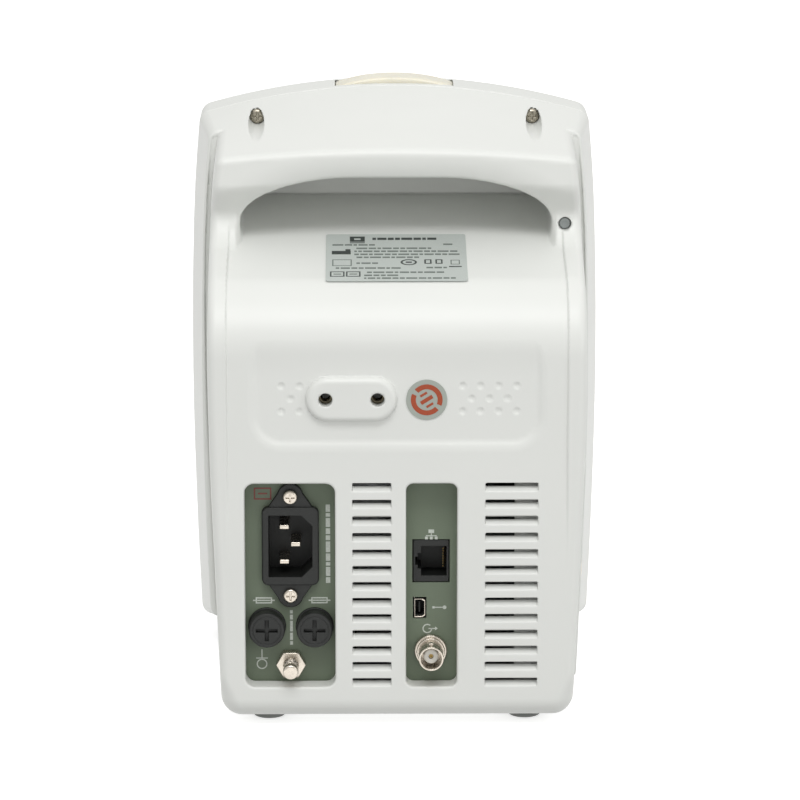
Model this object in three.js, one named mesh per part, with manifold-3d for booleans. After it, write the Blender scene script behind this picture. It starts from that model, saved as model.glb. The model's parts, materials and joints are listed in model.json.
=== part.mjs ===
// Portable bedside patient monitor, screen facing -Y, connector panel facing +Y, standing on z = 0.
// All sizes are millimetres. +X is on the right of someone reading the screen.
import * as THREE from "three";
import { ConvexGeometry } from "three/addons/geometries/ConvexGeometry.js";
import { mergeVertices } from "three/addons/utils/BufferGeometryUtils.js";
import Module from "manifold-3d";

const wasm = await Module();
wasm.setup();

// ---------------------------------------------------------------- driving dimensions
const WALL = 2.5; // moulded wall thickness
const GAP = 0.3; // clearance between neighbouring pieces
const FIT = 0.4; // clearance round a piece that moves in a hole
const REAR_Y = 78; // rear face of the casing
const PARTING_Y = -45; // joint between the rear and front housings
const FRONT_Y = -71; // front face of the casing
const FRONT_WALL = 3;
const FLOOR_Z = 4; // underside of the casing, above the feet

// Trunk of the rear housing: height and half-width. It tapers towards the rear face.
const TRUNK_WIDTHS = [
  [60, 73.6], [115, 75.5], [150, 75.8], [200, 74.2], [211, 72.4], [217, 68.5], [222, 60], [240, 50],
];
const TRUNK_FOOT_WIDTH = 71.6;
const FLOOR_CORNER = 9;
const REAR_CORNER = 9;
const REAR_TAPER = 3;
const SLOPE_Y = 15; // a point on the sloping top, and how steeply it rises towards the screen
const SLOPE_Z = 184.6;
const SLOPE_RISE = 0.207;
const SHOULDER_R = 23; // bend between the rear face and the sloping top

// Outer frame, shared by both housings: height and half-width, then the arched top.
const FRAME_WIDTHS = [[60, 82], [110, 83], [160, 82.6], [200, 81], [214, 79.8], [219, 78.6], [222.4, 76]];
const FRAME_FOOT_WIDTH = 80.2;
const FRAME_FLOOR_Z = 12;
const FRAME_REAR_Y = -12;
const FRAME_DRAFT = 5;
const ARCH = { x: 80, top: 235, sag: 11.8 };
const HOOD = { rearY: 28, top: 220.5, sag: 4.8 };

// Hand pocket under the hood, which is the carrying handle.
const POCKET = { wallY: -26, half: 63, arcX: 26, arcZ: 190, rise: 19.8, floor: 165 };
const LEG_REAR_Y = 19;
const LEG_TOP_Z = 203;

// Windows, vent slots and marks on the rear face.
const WINDOW_Z = [17, 98.4];
const WELL = 1.6;
const PANEL_Y = REAR_Y - 10; // outer face of the recessed connector plates
const PLATE = 1.5;
const MAINS_WINDOW = { x: 41.6, width: 35, corner: 4 };
const DATA_WINDOW = { x: -13.3, width: 19.8, corner: 3 };
const VENTS = [{ x: 9.9, width: 15 }, { x: -44.2, width: 20.4 }];
const SLOT = { count: 13, height: 3.4, rise: 1.8, depth: 4.5 };
const LEDGE = { half: 54, z: 116, corner: 9, depth: 1.2, fadeZ: 145, top: 158 };
const PAD = { x: 17.6, z: 131.8, width: 35, height: 17.4, face: REAR_Y + 0.5 };
const INSERT = { pitch: 20, r: 2.9, bore: 2, length: 12 };
const STICKER = { x: -11.3, z: 131.4, r: 7.9 };
const LABEL = { width: 55, length: 47, y: 38.5 };
const SKIN = 0.3; // thickness of a label

// Connectors on the mains plate and on the data plate.
const INLET = { x: 41.5, z: 72, pitch: 39.6, block: [22.4, 31.7], cavity: [16.9, 24.6], body: [19.6, 27.4] };
const FUSE = { z: 39.4, xs: { right: 50.8, left: 32.2 }, capR: 7, bore: 4.5, linkR: 2.6 };
const STUD = { x: 41.5, z: 24.4, tip: REAR_Y + 5 };
const ETHERNET = { x: -13.2, z: 65.2, width: 12.8, height: 15.6 };
const USB = { x: -8.8, z: 46.3, width: 3.9, height: 7.2 };
const BNC = { x: -13.1, z: 29.4, tip: REAR_Y + 4 };

// Screws sunk in channels through the hood, and the feet.
const SCREW = { x: 55.5, z: 224.1, headY: -32, headR: 3, shankR: 1.5, tipY: -59 };
const CHANNEL_HALF = 3.5;
const PLUG = { x: -66.6, z: 189.6, r: 2.2 };
const FEET = {
  front_left: [-50.3, -34],
  front_right: [50.3, -34],
  rear_left: [-50.3, 58],
  rear_right: [50.3, 58],
};

// Sensor plate on the -X side.
const SENSOR = { y0: 4, y1: 53, z0: 13, z1: 101, corner: 5, proud: 1.6 };
const SOCKET_Y = 28.5;
const SOCKETS = { spo2: { z: 82, r: 8.5 }, nibp: { z: 55, r: 7 }, temp: { z: 29, r: 6 } };

// Screen side.
const GLASS = { half: 66, z0: 117, z1: 217, corner: 5, depth: 1.5 };
const APERTURE = { half: 60, z0: 122.5, z1: 212.5 };
const KEYS = { z: 100, xs: [-52, -26, 0, 26, 52], width: 19, height: 9, corner: 3.2, proud: 1.8 };
const POWER = { x: -56, z: 32, r: 6 };
const STATUS = { x: -56, z: 50, r: 2.2 };
const KNOB = { x: 44, z: 56, r: 16, tip: FRONT_Y - 12, shaftR: 3 };
const SPEAKER = { x: -8, z: 52, r: 18 };
const LAMP = { half: 28, y0: -65, y1: -50, floor: 228, top: 237.2 };

// ---------------------------------------------------------------- solids from three.js geometries
const TO_Y = new THREE.Matrix4().makeRotationX(Math.PI / 2); // drawn in x and z, depth along -y
const TO_X = new THREE.Matrix4().makeBasis(
  new THREE.Vector3(0, 1, 0),
  new THREE.Vector3(0, 0, 1),
  new THREE.Vector3(1, 0, 0),
); // drawn in y and z, depth along +x

function signedVolume(positions, index) {
  const [a, b, c] = [new THREE.Vector3(), new THREE.Vector3(), new THREE.Vector3()];
  let total = 0;
  for (let i = 0; i < index.length; i += 3) {
    a.fromArray(positions, 3 * index[i]);
    b.fromArray(positions, 3 * index[i + 1]);
    c.fromArray(positions, 3 * index[i + 2]);
    total += a.dot(b.cross(c)) / 6;
  }
  return total;
}

function solid(geometry) {
  const g = geometry.clone();
  g.deleteAttribute("normal");
  g.deleteAttribute("uv");
  const merged = mergeVertices(g, 1e-4);
  const vertProperties = new Float32Array(merged.attributes.position.array);
  const triVerts = new Uint32Array(merged.index.array);
  if (signedVolume(vertProperties, triVerts) < 0) {
    triVerts.reverse();
  }
  return new wasm.Manifold(new wasm.Mesh({ numProp: 3, vertProperties, triVerts }));
}

function geometryOf(manifold) {
  const mesh = manifold.getMesh();
  const g = new THREE.BufferGeometry();
  g.setAttribute("position", new THREE.BufferAttribute(new Float32Array(mesh.vertProperties), 3));
  g.setIndex(new THREE.BufferAttribute(new Uint32Array(mesh.triVerts), 1));
  return g;
}

function union(...parts) {
  return parts.reduce((all, part) => all.add(part));
}

function hull(points) {
  return solid(new ConvexGeometry(points.map(([x, y, z]) => new THREE.Vector3(x, y, z))));
}

function box(x0, x1, y0, y1, z0, z1) {
  const g = new THREE.BoxGeometry(x1 - x0, y1 - y0, z1 - z0);
  return solid(g.translate((x0 + x1) / 2, (y0 + y1) / 2, (z0 + z1) / 2));
}

function extrudeY(shape, y0, y1, curveSegments = 5) {
  const g = new THREE.ExtrudeGeometry(shape, { depth: y1 - y0, curveSegments, bevelEnabled: false });
  return solid(g.applyMatrix4(TO_Y).translate(0, y1, 0));
}

function extrudeX(shape, x0, x1, curveSegments = 5) {
  const g = new THREE.ExtrudeGeometry(shape, { depth: x1 - x0, curveSegments, bevelEnabled: false });
  return solid(g.applyMatrix4(TO_X).translate(x0, 0, 0));
}

function extrudeZ(shape, z0, z1, curveSegments = 5) {
  const g = new THREE.ExtrudeGeometry(shape, { depth: z1 - z0, curveSegments, bevelEnabled: false });
  return solid(g.translate(0, 0, z0));
}

function polygon(points) {
  return new THREE.Shape(points.map(([a, b]) => new THREE.Vector2(a, b)));
}

function roundedRect(a0, a1, b0, b1, r) {
  const s = new THREE.Shape();
  s.absarc(a1 - r, b0 + r, r, -Math.PI / 2, 0, false);
  s.absarc(a1 - r, b1 - r, r, 0, Math.PI / 2, false);
  s.absarc(a0 + r, b1 - r, r, Math.PI / 2, Math.PI, false);
  s.absarc(a0 + r, b0 + r, r, Math.PI, Math.PI * 1.5, false);
  return s;
}

function centredRect(x, z, width, height, r) {
  return roundedRect(x - width / 2, x + width / 2, z - height / 2, z + height / 2, r);
}

// Turned about a line along Y: the profile lists radius and y, and starts and ends on the axis or closes.
function turnedY(profile, x, z, segments = 20) {
  const points = profile.map(([r, y]) => new THREE.Vector2(r, y));
  return solid(new THREE.LatheGeometry(points, segments).translate(x, 0, z));
}

function ringY(outer, inner, y0, y1, x, z, segments = 20) {
  return turnedY([[inner, y0], [outer, y0], [outer, y1], [inner, y1], [inner, y0]], x, z, segments);
}

function cylinderY(r, y0, y1, x, z, segments = 20) {
  return solid(new THREE.CylinderGeometry(r, r, y1 - y0, segments).translate(x, (y0 + y1) / 2, z));
}

function cylinderX(r, x0, x1, y, z, segments = 20) {
  const g = new THREE.CylinderGeometry(r, r, x1 - x0, segments).rotateZ(Math.PI / 2);
  return solid(g.translate((x0 + x1) / 2, y, z));
}

function cylinderZ(r, z0, z1, x, y, segments = 20) {
  const g = new THREE.CylinderGeometry(r, r, z1 - z0, segments).rotateX(Math.PI / 2);
  return solid(g.translate(x, y, (z0 + z1) / 2));
}

// ---------------------------------------------------------------- casing form
const QUARTER = [0, 0.25, 0.5, 0.75, 1].map((t) => (t * Math.PI) / 2);
const SLOPE_SCALE = Math.hypot(1, SLOPE_RISE);

function archZ(x, top, sag) {
  return top - sag * (x / ARCH.x) ** 2;
}

function slopeZ(y, inset = 0) {
  return SLOPE_Z + SLOPE_RISE * (SLOPE_Y - y) - inset * SLOPE_SCALE;
}

// One level of the trunk, seen from above, with rounded rear corners.
function trunkRing(z, half, inset, frontY, rearCut = 0) {
  const side = half - inset;
  const r = REAR_CORNER - inset;
  const rearY = REAR_Y - inset - rearCut;
  const arc = QUARTER.map((a) => [side - REAR_TAPER - r + r * Math.cos(a), rearY - r + r * Math.sin(a)]);
  const outline = [[side, frontY], [side - 0.4, 12], ...arc];
  return outline.flatMap(([x, y]) => [[x, y, z], [-x, y, z]]);
}

function trunk(inset, frontY) {
  const r = FLOOR_CORNER - inset;
  const floor = QUARTER.flatMap((a) => {
    const lost = r * (1 - Math.sin(a));
    const z = FLOOR_Z + inset + r * (1 - Math.cos(a));
    return trunkRing(z, TRUNK_FOOT_WIDTH - lost, inset, frontY, 0.35 * lost);
  });
  return hull([...floor, ...TRUNK_WIDTHS.flatMap(([z, half]) => trunkRing(z, half, inset, frontY))]);
}

// Outline of the outer frame, seen from the front, drawn in by the inset.
function frameOutline(inset) {
  const r = FLOOR_CORNER;
  const floor = QUARTER.map((a) => [
    FRAME_FOOT_WIDTH - inset - r * (1 - Math.sin(a)),
    FRAME_FLOOR_Z + inset + r * (1 - Math.cos(a)),
  ]);
  const sides = FRAME_WIDTHS.map(([z, half]) => [half - inset, z - Math.max(0, (inset * (z - 200)) / 20)]);
  const top = [70, 60, 45, 30, 15, 0].map((x) => [
    x - inset * (x / 70),
    archZ(x, ARCH.top, ARCH.sag) - inset,
  ]);
  return [...floor, ...sides, ...top];
}

function frameHull(rings) {
  return hull(
    rings.flatMap(([y, inset]) => frameOutline(inset).flatMap(([x, z]) => [[x, y, z], [-x, y, z]])),
  );
}

// Everything under the sloping top of the hood, which is ruled between two arches.
function underHood(inset) {
  const xs = [-84, -63, -42, -21, 0, 21, 42, 63, 84];
  const far = xs.map((x) => [x, PARTING_Y - 1, archZ(x, ARCH.top - 0.4, ARCH.sag) - inset]);
  const near = xs.map((x) => [x, HOOD.rearY, archZ(x, HOOD.top, HOOD.sag) - inset]);
  const base = [-84, 84].flatMap((x) => [[x, PARTING_Y - 1, 0], [x, REAR_Y, 0], [x, REAR_Y, HOOD.top - 12]]);
  return hull([...far, ...near, ...base]);
}

// Side view of the rear housing: rear face, shoulder, sloping top, leg of the handle, hood.
function sideProfile(inset) {
  const centreY = REAR_Y - SHOULDER_R;
  const centreZ = slopeZ(centreY, SHOULDER_R);
  const r = SHOULDER_R - inset;
  const legY = LEG_REAR_Y - inset;
  const s = new THREE.Shape();
  s.moveTo(PARTING_Y - 2, 0);
  s.lineTo(REAR_Y - inset, 0);
  s.absarc(centreY, centreZ, r, 0, Math.atan2(1, SLOPE_RISE), false);
  s.lineTo(legY, slopeZ(legY, inset));
  s.lineTo(legY, LEG_TOP_Z + inset);
  s.lineTo(HOOD.rearY - inset, POCKET.arcZ + POCKET.rise + inset);
  s.lineTo(HOOD.rearY - inset, 245);
  s.lineTo(PARTING_Y - 2, 245);
  return s;
}

function rearForm(inset, frontY) {
  const frame = frameHull([[frontY, inset + GAP], [FRAME_REAR_Y - inset, inset + FRAME_DRAFT]]);
  const bodies = frame.add(trunk(inset, frontY));
  return bodies.intersect(underHood(inset)).intersect(extrudeX(sideProfile(inset), -90, 90));
}

function pocket(grow) {
  const side = POCKET.half + grow;
  const arc = POCKET.half - POCKET.arcX + grow;
  const s = new THREE.Shape();
  s.moveTo(-side, POCKET.floor);
  s.lineTo(side, POCKET.floor);
  s.absellipse(POCKET.arcX, POCKET.arcZ, arc, POCKET.rise + grow, 0, Math.PI / 2);
  s.absellipse(-POCKET.arcX, POCKET.arcZ, arc, POCKET.rise + grow, Math.PI / 2, Math.PI);
  const above = polygon([[-60, slopeZ(-60, grow)], [100, slopeZ(100, grow)], [100, 260], [-60, 260]]);
  return extrudeY(s, POCKET.wallY - grow, 95, 8).intersect(extrudeX(above, -90, 90));
}

// ---------------------------------------------------------------- rear housing
function windowShape(window, grow) {
  return roundedRect(
    window.x - window.width / 2 - grow,
    window.x + window.width / 2 + grow,
    WINDOW_Z[0] - grow,
    WINDOW_Z[1] + grow,
    window.corner + grow,
  );
}

function ventSlots({ x, width }) {
  const pitch = (WINDOW_Z[1] - WINDOW_Z[0] - SLOT.height) / (SLOT.count - 1);
  const y1 = REAR_Y + 1;
  const y0 = REAR_Y - SLOT.depth - 1;
  const slots = Array.from({ length: SLOT.count }, (_, i) => {
    const z = WINDOW_Z[0] + i * pitch;
    const top = z + SLOT.height;
    const side = polygon([[y0, z + SLOT.rise], [y1, z], [y1, top], [y0, top + SLOT.rise]]);
    return extrudeX(side, x - width / 2, x + width / 2);
  });
  return union(...slots);
}

function ventBlock({ x, width }) {
  const half = width / 2 + 1.5;
  return box(x - half, x + half, REAR_Y - SLOT.depth, REAR_Y - 1, WINDOW_Z[0] - 3, WINDOW_Z[1] + 5);
}

function ledge() {
  const wide = roundedRect(-LEDGE.half, LEDGE.half, LEDGE.z, LEDGE.top + LEDGE.corner, LEDGE.corner);
  const floorY = REAR_Y - LEDGE.depth;
  const depth = polygon([
    [floorY, LEDGE.z],
    [REAR_Y + 2, LEDGE.z],
    [REAR_Y + 2, LEDGE.top],
    [REAR_Y, LEDGE.top],
    [floorY, LEDGE.fadeZ],
  ]);
  return extrudeY(wide, REAR_Y - 3, REAR_Y + 3).intersect(extrudeX(depth, -90, 90));
}

function insertXs() {
  return [PAD.x - INSERT.pitch / 2, PAD.x + INSERT.pitch / 2];
}

function sensorHoles(grow) {
  return union(...Object.values(SOCKETS).map(({ z, r }) => cylinderX(r + grow, -90, -60, SOCKET_Y, z, 24)));
}

function rearHousing() {
  const outer = rearForm(0, PARTING_Y).subtract(pocket(0));
  const cavity = rearForm(WALL, PARTING_Y - 1).subtract(pocket(WALL));
  let made = outer.subtract(ledge()).subtract(cavity);
  const pad = centredRect(PAD.x, PAD.z, PAD.width, PAD.height, PAD.height / 2);
  made = made.add(extrudeY(pad, REAR_Y - 2, PAD.face, 8));
  for (const window of [MAINS_WINDOW, DATA_WINDOW]) {
    made = made.add(extrudeY(windowShape(window, WELL), PANEL_Y + GAP, REAR_Y - 1));
    made = made.subtract(extrudeY(windowShape(window, 0), PANEL_Y - 5, REAR_Y + 2));
  }
  for (const vent of VENTS) {
    made = made.add(ventBlock(vent)).subtract(ventSlots(vent));
  }
  for (const x of insertXs()) {
    const deepY = PAD.face - INSERT.length - GAP;
    made = made.add(cylinderY(5, deepY - 2.5, REAR_Y - 1, x, PAD.z, 16));
    made = made.subtract(cylinderY(INSERT.r + GAP, deepY, PAD.face + 1, x, PAD.z, 16));
  }
  for (const x of [-SCREW.x, SCREW.x]) {
    const wide = CHANNEL_HALF + 1.8;
    const post = box(x - wide, x + wide, PARTING_Y, 16, SCREW.z - wide, 240);
    const seatY = SCREW.headY - 2.2;
    const channel = union(
      cylinderY(CHANNEL_HALF, seatY, 40, x, SCREW.z, 16),
      box(x - CHANNEL_HALF, x + CHANNEL_HALF, seatY, 40, SCREW.z, 245),
    );
    made = made.add(post.intersect(rearForm(0, PARTING_Y))).subtract(channel);
    made = made.subtract(cylinderY(SCREW.shankR + GAP, PARTING_Y - 1, -20, x, SCREW.z, 12));
  }
  for (const [x, y] of Object.values(FEET)) {
    made = made.subtract(cylinderZ(3.3, FLOOR_Z - 1, FLOOR_Z + WALL + 1, x, y, 12));
  }
  made = made.subtract(cylinderY(PLUG.r + GAP, LEG_REAR_Y - WALL - 2, LEG_REAR_Y + 1, PLUG.x, PLUG.z, 12));
  return made.subtract(sensorHoles(GAP));
}

// ---------------------------------------------------------------- front housing and screen side
function speakerSlots() {
  const slots = [-3, -2, -1, 0, 1, 2, 3].map((i) => {
    const half = Math.sqrt((SPEAKER.r - 3) ** 2 - (4.2 * i) ** 2);
    const z = SPEAKER.z + 4.2 * i;
    return box(SPEAKER.x - half, SPEAKER.x + half, FRONT_Y - 1, FRONT_Y + 5, z - 0.9, z + 0.9);
  });
  return union(...slots);
}

function lampShape(grow) {
  const s = new THREE.Shape();
  const side = LAMP.half + grow;
  const bottom = LAMP.floor - grow;
  const rise = LAMP.top + grow - bottom;
  s.moveTo(-side, bottom);
  s.lineTo(side, bottom);
  s.absellipse(0, bottom, side, rise, 0.42, Math.PI - 0.42);
  return s;
}

function frontHousing() {
  const rings = [[PARTING_Y - GAP, GAP], [-58, 0], [-67, 0.6], [-70, 2.2], [FRONT_Y, 4.6]];
  const inner = [[PARTING_Y + 1, WALL + GAP], [-58, WALL], [FRONT_Y + FRONT_WALL, WALL + 1.6]];
  let made = frameHull(rings).subtract(frameHull(inner));
  const half = GLASS.half + GAP;
  const glass = roundedRect(-half, half, GLASS.z0 - GAP, GLASS.z1 + GAP, GLASS.corner);
  made = made.subtract(extrudeY(glass, FRONT_Y - 2, FRONT_Y + GLASS.depth));
  const opening = box(-APERTURE.half, APERTURE.half, FRONT_Y - 2, FRONT_Y + 5, APERTURE.z0, APERTURE.z1);
  made = made.subtract(opening);
  for (const x of KEYS.xs) {
    const hole = centredRect(x, KEYS.z, KEYS.width + 2 * FIT, KEYS.height + 2 * FIT, KEYS.corner + FIT);
    made = made.subtract(extrudeY(hole, FRONT_Y - 2, FRONT_Y + 5, 4));
  }
  made = made.subtract(cylinderY(POWER.r + FIT, FRONT_Y - 2, FRONT_Y + 5, POWER.x, POWER.z));
  made = made.subtract(cylinderY(STATUS.r + GAP, FRONT_Y - 2, FRONT_Y + 5, STATUS.x, STATUS.z, 12));
  made = made.subtract(cylinderY(KNOB.shaftR + 0.6, FRONT_Y - 2, FRONT_Y + 5, KNOB.x, KNOB.z, 16));
  made = made.subtract(speakerSlots());
  made = made.subtract(extrudeY(lampShape(GAP), LAMP.y0 - GAP, LAMP.y1 + GAP, 8));
  for (const x of [-SCREW.x, SCREW.x]) {
    const boss = cylinderY(4.2, FRONT_Y + 2, PARTING_Y - GAP, x, SCREW.z - 2.5, 12);
    made = made.add(boss.intersect(frameHull(rings)));
    made = made.subtract(cylinderY(SCREW.shankR + GAP, SCREW.tipY - 1, PARTING_Y + 1, x, SCREW.z, 12));
  }
  return made;
}

function screenWindow() {
  const shape = roundedRect(-GLASS.half, GLASS.half, GLASS.z0, GLASS.z1, GLASS.corner - GAP);
  return extrudeY(shape, FRONT_Y, FRONT_Y + GLASS.depth - GAP);
}

function lcdModule() {
  const y = FRONT_Y + FRONT_WALL + GAP;
  return union(
    box(-62.5, 62.5, y, y + 6.5, 119.5, 214),
    box(-40, 40, y + 6, y + 9, 130, 170),
  );
}

function alarmLens() {
  return extrudeY(lampShape(0), LAMP.y0, LAMP.y1, 8);
}

function key(x) {
  const cap = centredRect(x, KEYS.z, KEYS.width, KEYS.height, KEYS.corner);
  const flange = centredRect(x, KEYS.z, KEYS.width + 3, KEYS.height + 3, KEYS.corner);
  const wallY = FRONT_Y + FRONT_WALL;
  return union(
    extrudeY(cap, FRONT_Y - KEYS.proud, wallY + 1, 3),
    extrudeY(flange, wallY + GAP, wallY + 1.3, 2),
  );
}

function powerKey() {
  const wallY = FRONT_Y + FRONT_WALL;
  const profile = [
    [0, FRONT_Y - 1.6], [POWER.r - 1, FRONT_Y - 1.6], [POWER.r, FRONT_Y - 0.8], [POWER.r, wallY + GAP],
    [POWER.r + 1.2, wallY + GAP], [POWER.r + 1.2, wallY + 1.3], [0, wallY + 1.3],
  ];
  return turnedY(profile, POWER.x, POWER.z);
}

function keypadBoard() {
  const domes = KEYS.xs.map((x) => cylinderY(3, -65.4, -64, x, KEYS.z, 10));
  return union(box(-63, 63, -64.2, -62.6, 93, 107), ...domes);
}

function statusLight() {
  const profile = [[0, FRONT_Y - 0.9], [1.5, FRONT_Y - 0.6], [STATUS.r, FRONT_Y], [STATUS.r, -64], [0, -64]];
  return turnedY(profile, STATUS.x, STATUS.z, 12);
}

function encoderKnob() {
  const grips = 24;
  const body = turnedY(
    [
      [0, KNOB.tip + 0.8], [11, KNOB.tip + 0.4], [12.5, KNOB.tip], [14.6, KNOB.tip + 0.9],
      [15.4, KNOB.tip + 3], [KNOB.r, FRONT_Y - 1.4], [KNOB.r - 2.2, FRONT_Y - 1.4],
      [KNOB.r - 2.6, FRONT_Y - 6], [6, FRONT_Y - 6], [6, FRONT_Y - 1.4], [0, FRONT_Y - 1.4],
    ],
    KNOB.x,
    KNOB.z,
    grips,
  );
  return body.subtract(cylinderY(KNOB.shaftR + GAP, KNOB.tip + 4, FRONT_Y, KNOB.x, KNOB.z, 16));
}

function encoderShaft() {
  return cylinderY(KNOB.shaftR, KNOB.tip + 4 + GAP, -60, KNOB.x, KNOB.z, 16);
}

function encoderPlunger() {
  return cylinderY(2.2, -60 + GAP, -55.5, KNOB.x, KNOB.z, 12);
}

function encoderBody() {
  const y0 = FRONT_Y + FRONT_WALL + GAP;
  const block = box(KNOB.x - 7, KNOB.x + 7, y0, -52, KNOB.z - 7, KNOB.z + 7);
  const pins = [-5, 0, 5].map((dx) => {
    const x = KNOB.x + dx;
    return box(x - 0.6, x + 0.6, -59, -58, KNOB.z - 12, KNOB.z - 6.5);
  });
  return union(block, ...pins).subtract(cylinderY(KNOB.shaftR + FIT, y0 - 1, -54, KNOB.x, KNOB.z, 16));
}

function speaker() {
  const y = FRONT_Y + FRONT_WALL + GAP;
  const profile = [
    [0, y + 6], [6, y + 6], [SPEAKER.r - 4, y + 2], [SPEAKER.r - 3, y], [SPEAKER.r, y], [SPEAKER.r, y + 2.5],
    [10, y + 9], [10, y + 14], [0, y + 14],
  ];
  return turnedY(profile, SPEAKER.x, SPEAKER.z, 24);
}

// ---------------------------------------------------------------- mains connectors
function mainsPlate() {
  const shape = windowShape(MAINS_WINDOW, WELL - GAP);
  let made = extrudeY(shape, PANEL_Y - PLATE, PANEL_Y);
  for (const z of inletScrewZs()) {
    made = made.add(cylinderY(3.2, PANEL_Y - 7, PANEL_Y - 1, INLET.x, z, 12));
    made = made.subtract(cylinderY(1.5 + GAP, PANEL_Y - 8, PANEL_Y + 1, INLET.x, z, 12));
  }
  const [width, height] = INLET.body;
  const opening = centredRect(INLET.x, INLET.z, width + 2 * GAP, height + 2 * GAP, 2);
  made = made.subtract(extrudeY(opening, PANEL_Y - 3, PANEL_Y + 1, 2));
  for (const x of Object.values(FUSE.xs)) {
    made = made.subtract(cylinderY(6 + GAP, PANEL_Y - 3, PANEL_Y + 1, x, FUSE.z));
  }
  return made.subtract(cylinderY(2.5 + GAP, PANEL_Y - 3, PANEL_Y + 1, STUD.x, STUD.z, 12));
}

function inletScrewZs() {
  return [INLET.z + INLET.pitch / 2, INLET.z - INLET.pitch / 2];
}

function cavityShape() {
  const [width, height] = INLET.cavity;
  const cut = 4.2; // the two keyed corners
  const x0 = INLET.x - width / 2;
  const x1 = INLET.x + width / 2;
  const z0 = INLET.z - height / 2;
  const z1 = INLET.z + height / 2;
  return polygon([[x0 + cut, z0], [x1, z0], [x1, z1], [x0 + cut, z1], [x0, z1 - cut], [x0, z0 + cut]]);
}

function bladeSlots(grow) {
  const thick = 1 + grow;
  const wide = 2 + grow;
  const live = [7, -7].map((dz) => [INLET.x + 2.4, INLET.z + dz]);
  const at = { line: live[0], neutral: live[1], earth: [INLET.x - 2, INLET.z] };
  return Object.fromEntries(
    Object.entries(at).map(([name, [x, z]]) => [name, [x - wide, x + wide, z - thick, z + thick]]),
  );
}

function mainsInlet() {
  const [blockW, blockH] = INLET.block;
  const [bodyW, bodyH] = INLET.body;
  const face = PANEL_Y + 3.6;
  const lobes = inletScrewZs().map((z) => cylinderY(5, PANEL_Y + GAP, PANEL_Y + 2.6, INLET.x, z, 16));
  const web = polygon([
    [INLET.x - 11, INLET.z - 12], [INLET.x - 4.9, INLET.z - 21], [INLET.x + 4.9, INLET.z - 21],
    [INLET.x + 11, INLET.z - 12], [INLET.x + 11, INLET.z + 12], [INLET.x + 4.9, INLET.z + 21],
    [INLET.x - 4.9, INLET.z + 21], [INLET.x - 11, INLET.z + 12],
  ]);
  let made = union(
    extrudeY(web, PANEL_Y + GAP, PANEL_Y + 2.6),
    extrudeY(centredRect(INLET.x, INLET.z, blockW, blockH, 2), PANEL_Y + GAP, face, 3),
    extrudeY(centredRect(INLET.x, INLET.z, bodyW, bodyH, 2), PANEL_Y - 16, PANEL_Y + 1, 3),
    ...lobes,
  );
  made = made.subtract(extrudeY(cavityShape(), PANEL_Y - 12.4, face + 1));
  for (const z of inletScrewZs()) {
    made = made.subtract(cylinderY(1.5 + GAP, PANEL_Y - 1, PANEL_Y + 4, INLET.x, z, 12));
  }
  for (const [x0, x1, z0, z1] of Object.values(bladeSlots(0.25))) {
    made = made.subtract(box(x0, x1, PANEL_Y - 20, PANEL_Y - 10, z0, z1));
  }
  return made;
}

function inletPin([x0, x1, z0, z1]) {
  const tip = PANEL_Y + 0.5;
  const shoulder = tip - 1.5;
  const blade = box(x0, x1, PANEL_Y - 22, shoulder, z0, z1);
  const nose = hull(
    [[x0, x1, shoulder, z0, z1], [x0 + 0.7, x1 - 0.7, tip, z0 + 0.5, z1 - 0.5]].flatMap(([a, b, y, c, d]) => [
      [a, y, c], [b, y, c], [a, y, d], [b, y, d],
    ]),
  );
  return blade.add(nose);
}

function panHeadScrew(x, z) {
  const seat = PANEL_Y + 2.6 + GAP;
  const made = turnedY(
    [
      [0, PANEL_Y - 8], [1.5, PANEL_Y - 8], [1.5, seat], [2.8, seat], [2.8, seat + 0.8], [2, seat + 1.6],
      [0, seat + 1.8],
    ],
    x,
    z,
    16,
  );
  const top = seat + 3;
  return made
    .subtract(box(x - 1.6, x + 1.6, seat + 0.7, top, z - 0.3, z + 0.3))
    .subtract(box(x - 0.3, x + 0.3, seat + 0.7, top, z - 1.6, z + 1.6));
}

function fuseHolder(x) {
  const profile = [
    [0, 33], [6, 33], [6, PANEL_Y + GAP], [7.4, PANEL_Y + GAP], [7.4, PANEL_Y + 1.8],
    [FUSE.bore, PANEL_Y + 1.8], [FUSE.bore, 36], [0, 36],
  ];
  return turnedY(profile, x, FUSE.z);
}

function fuseCap(x) {
  const under = PANEL_Y + 1.8 + GAP;
  const face = PANEL_Y + 8.3;
  const profile = [
    [0, 62.2], [3.9, 62.2], [3.9, under], [FUSE.capR, under], [FUSE.capR, face - 0.8],
    [FUSE.capR - 0.8, face], [0, face],
  ];
  return turnedY(profile, x, FUSE.z, 24)
    .subtract(box(x - 4.2, x + 4.2, face - 1.6, face + 1, FUSE.z - 0.7, FUSE.z + 0.7))
    .subtract(box(x - 0.7, x + 0.7, face - 1.6, face + 1, FUSE.z - 4.2, FUSE.z + 4.2));
}

function fuseLink(x) {
  const r = FUSE.linkR;
  const profile = [
    [0, 41.5], [r, 41.5], [r, 47], [r - 0.2, 47], [r - 0.2, 56.5], [r, 56.5], [r, 61.9], [0, 61.9],
  ];
  return turnedY(profile, x, FUSE.z, 12);
}

function earthStud() {
  const profile = [
    [0, 58], [2.5, 58], [2.5, PANEL_Y + 5.2], [3, PANEL_Y + 5.6], [3, PANEL_Y + 8], [2.2, PANEL_Y + 8.6],
    [2.2, PANEL_Y + 10.4], [3, PANEL_Y + 11], [3, STUD.tip - 1.2], [2, STUD.tip], [0, STUD.tip],
  ];
  return turnedY(profile, STUD.x, STUD.z, 16);
}

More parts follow.
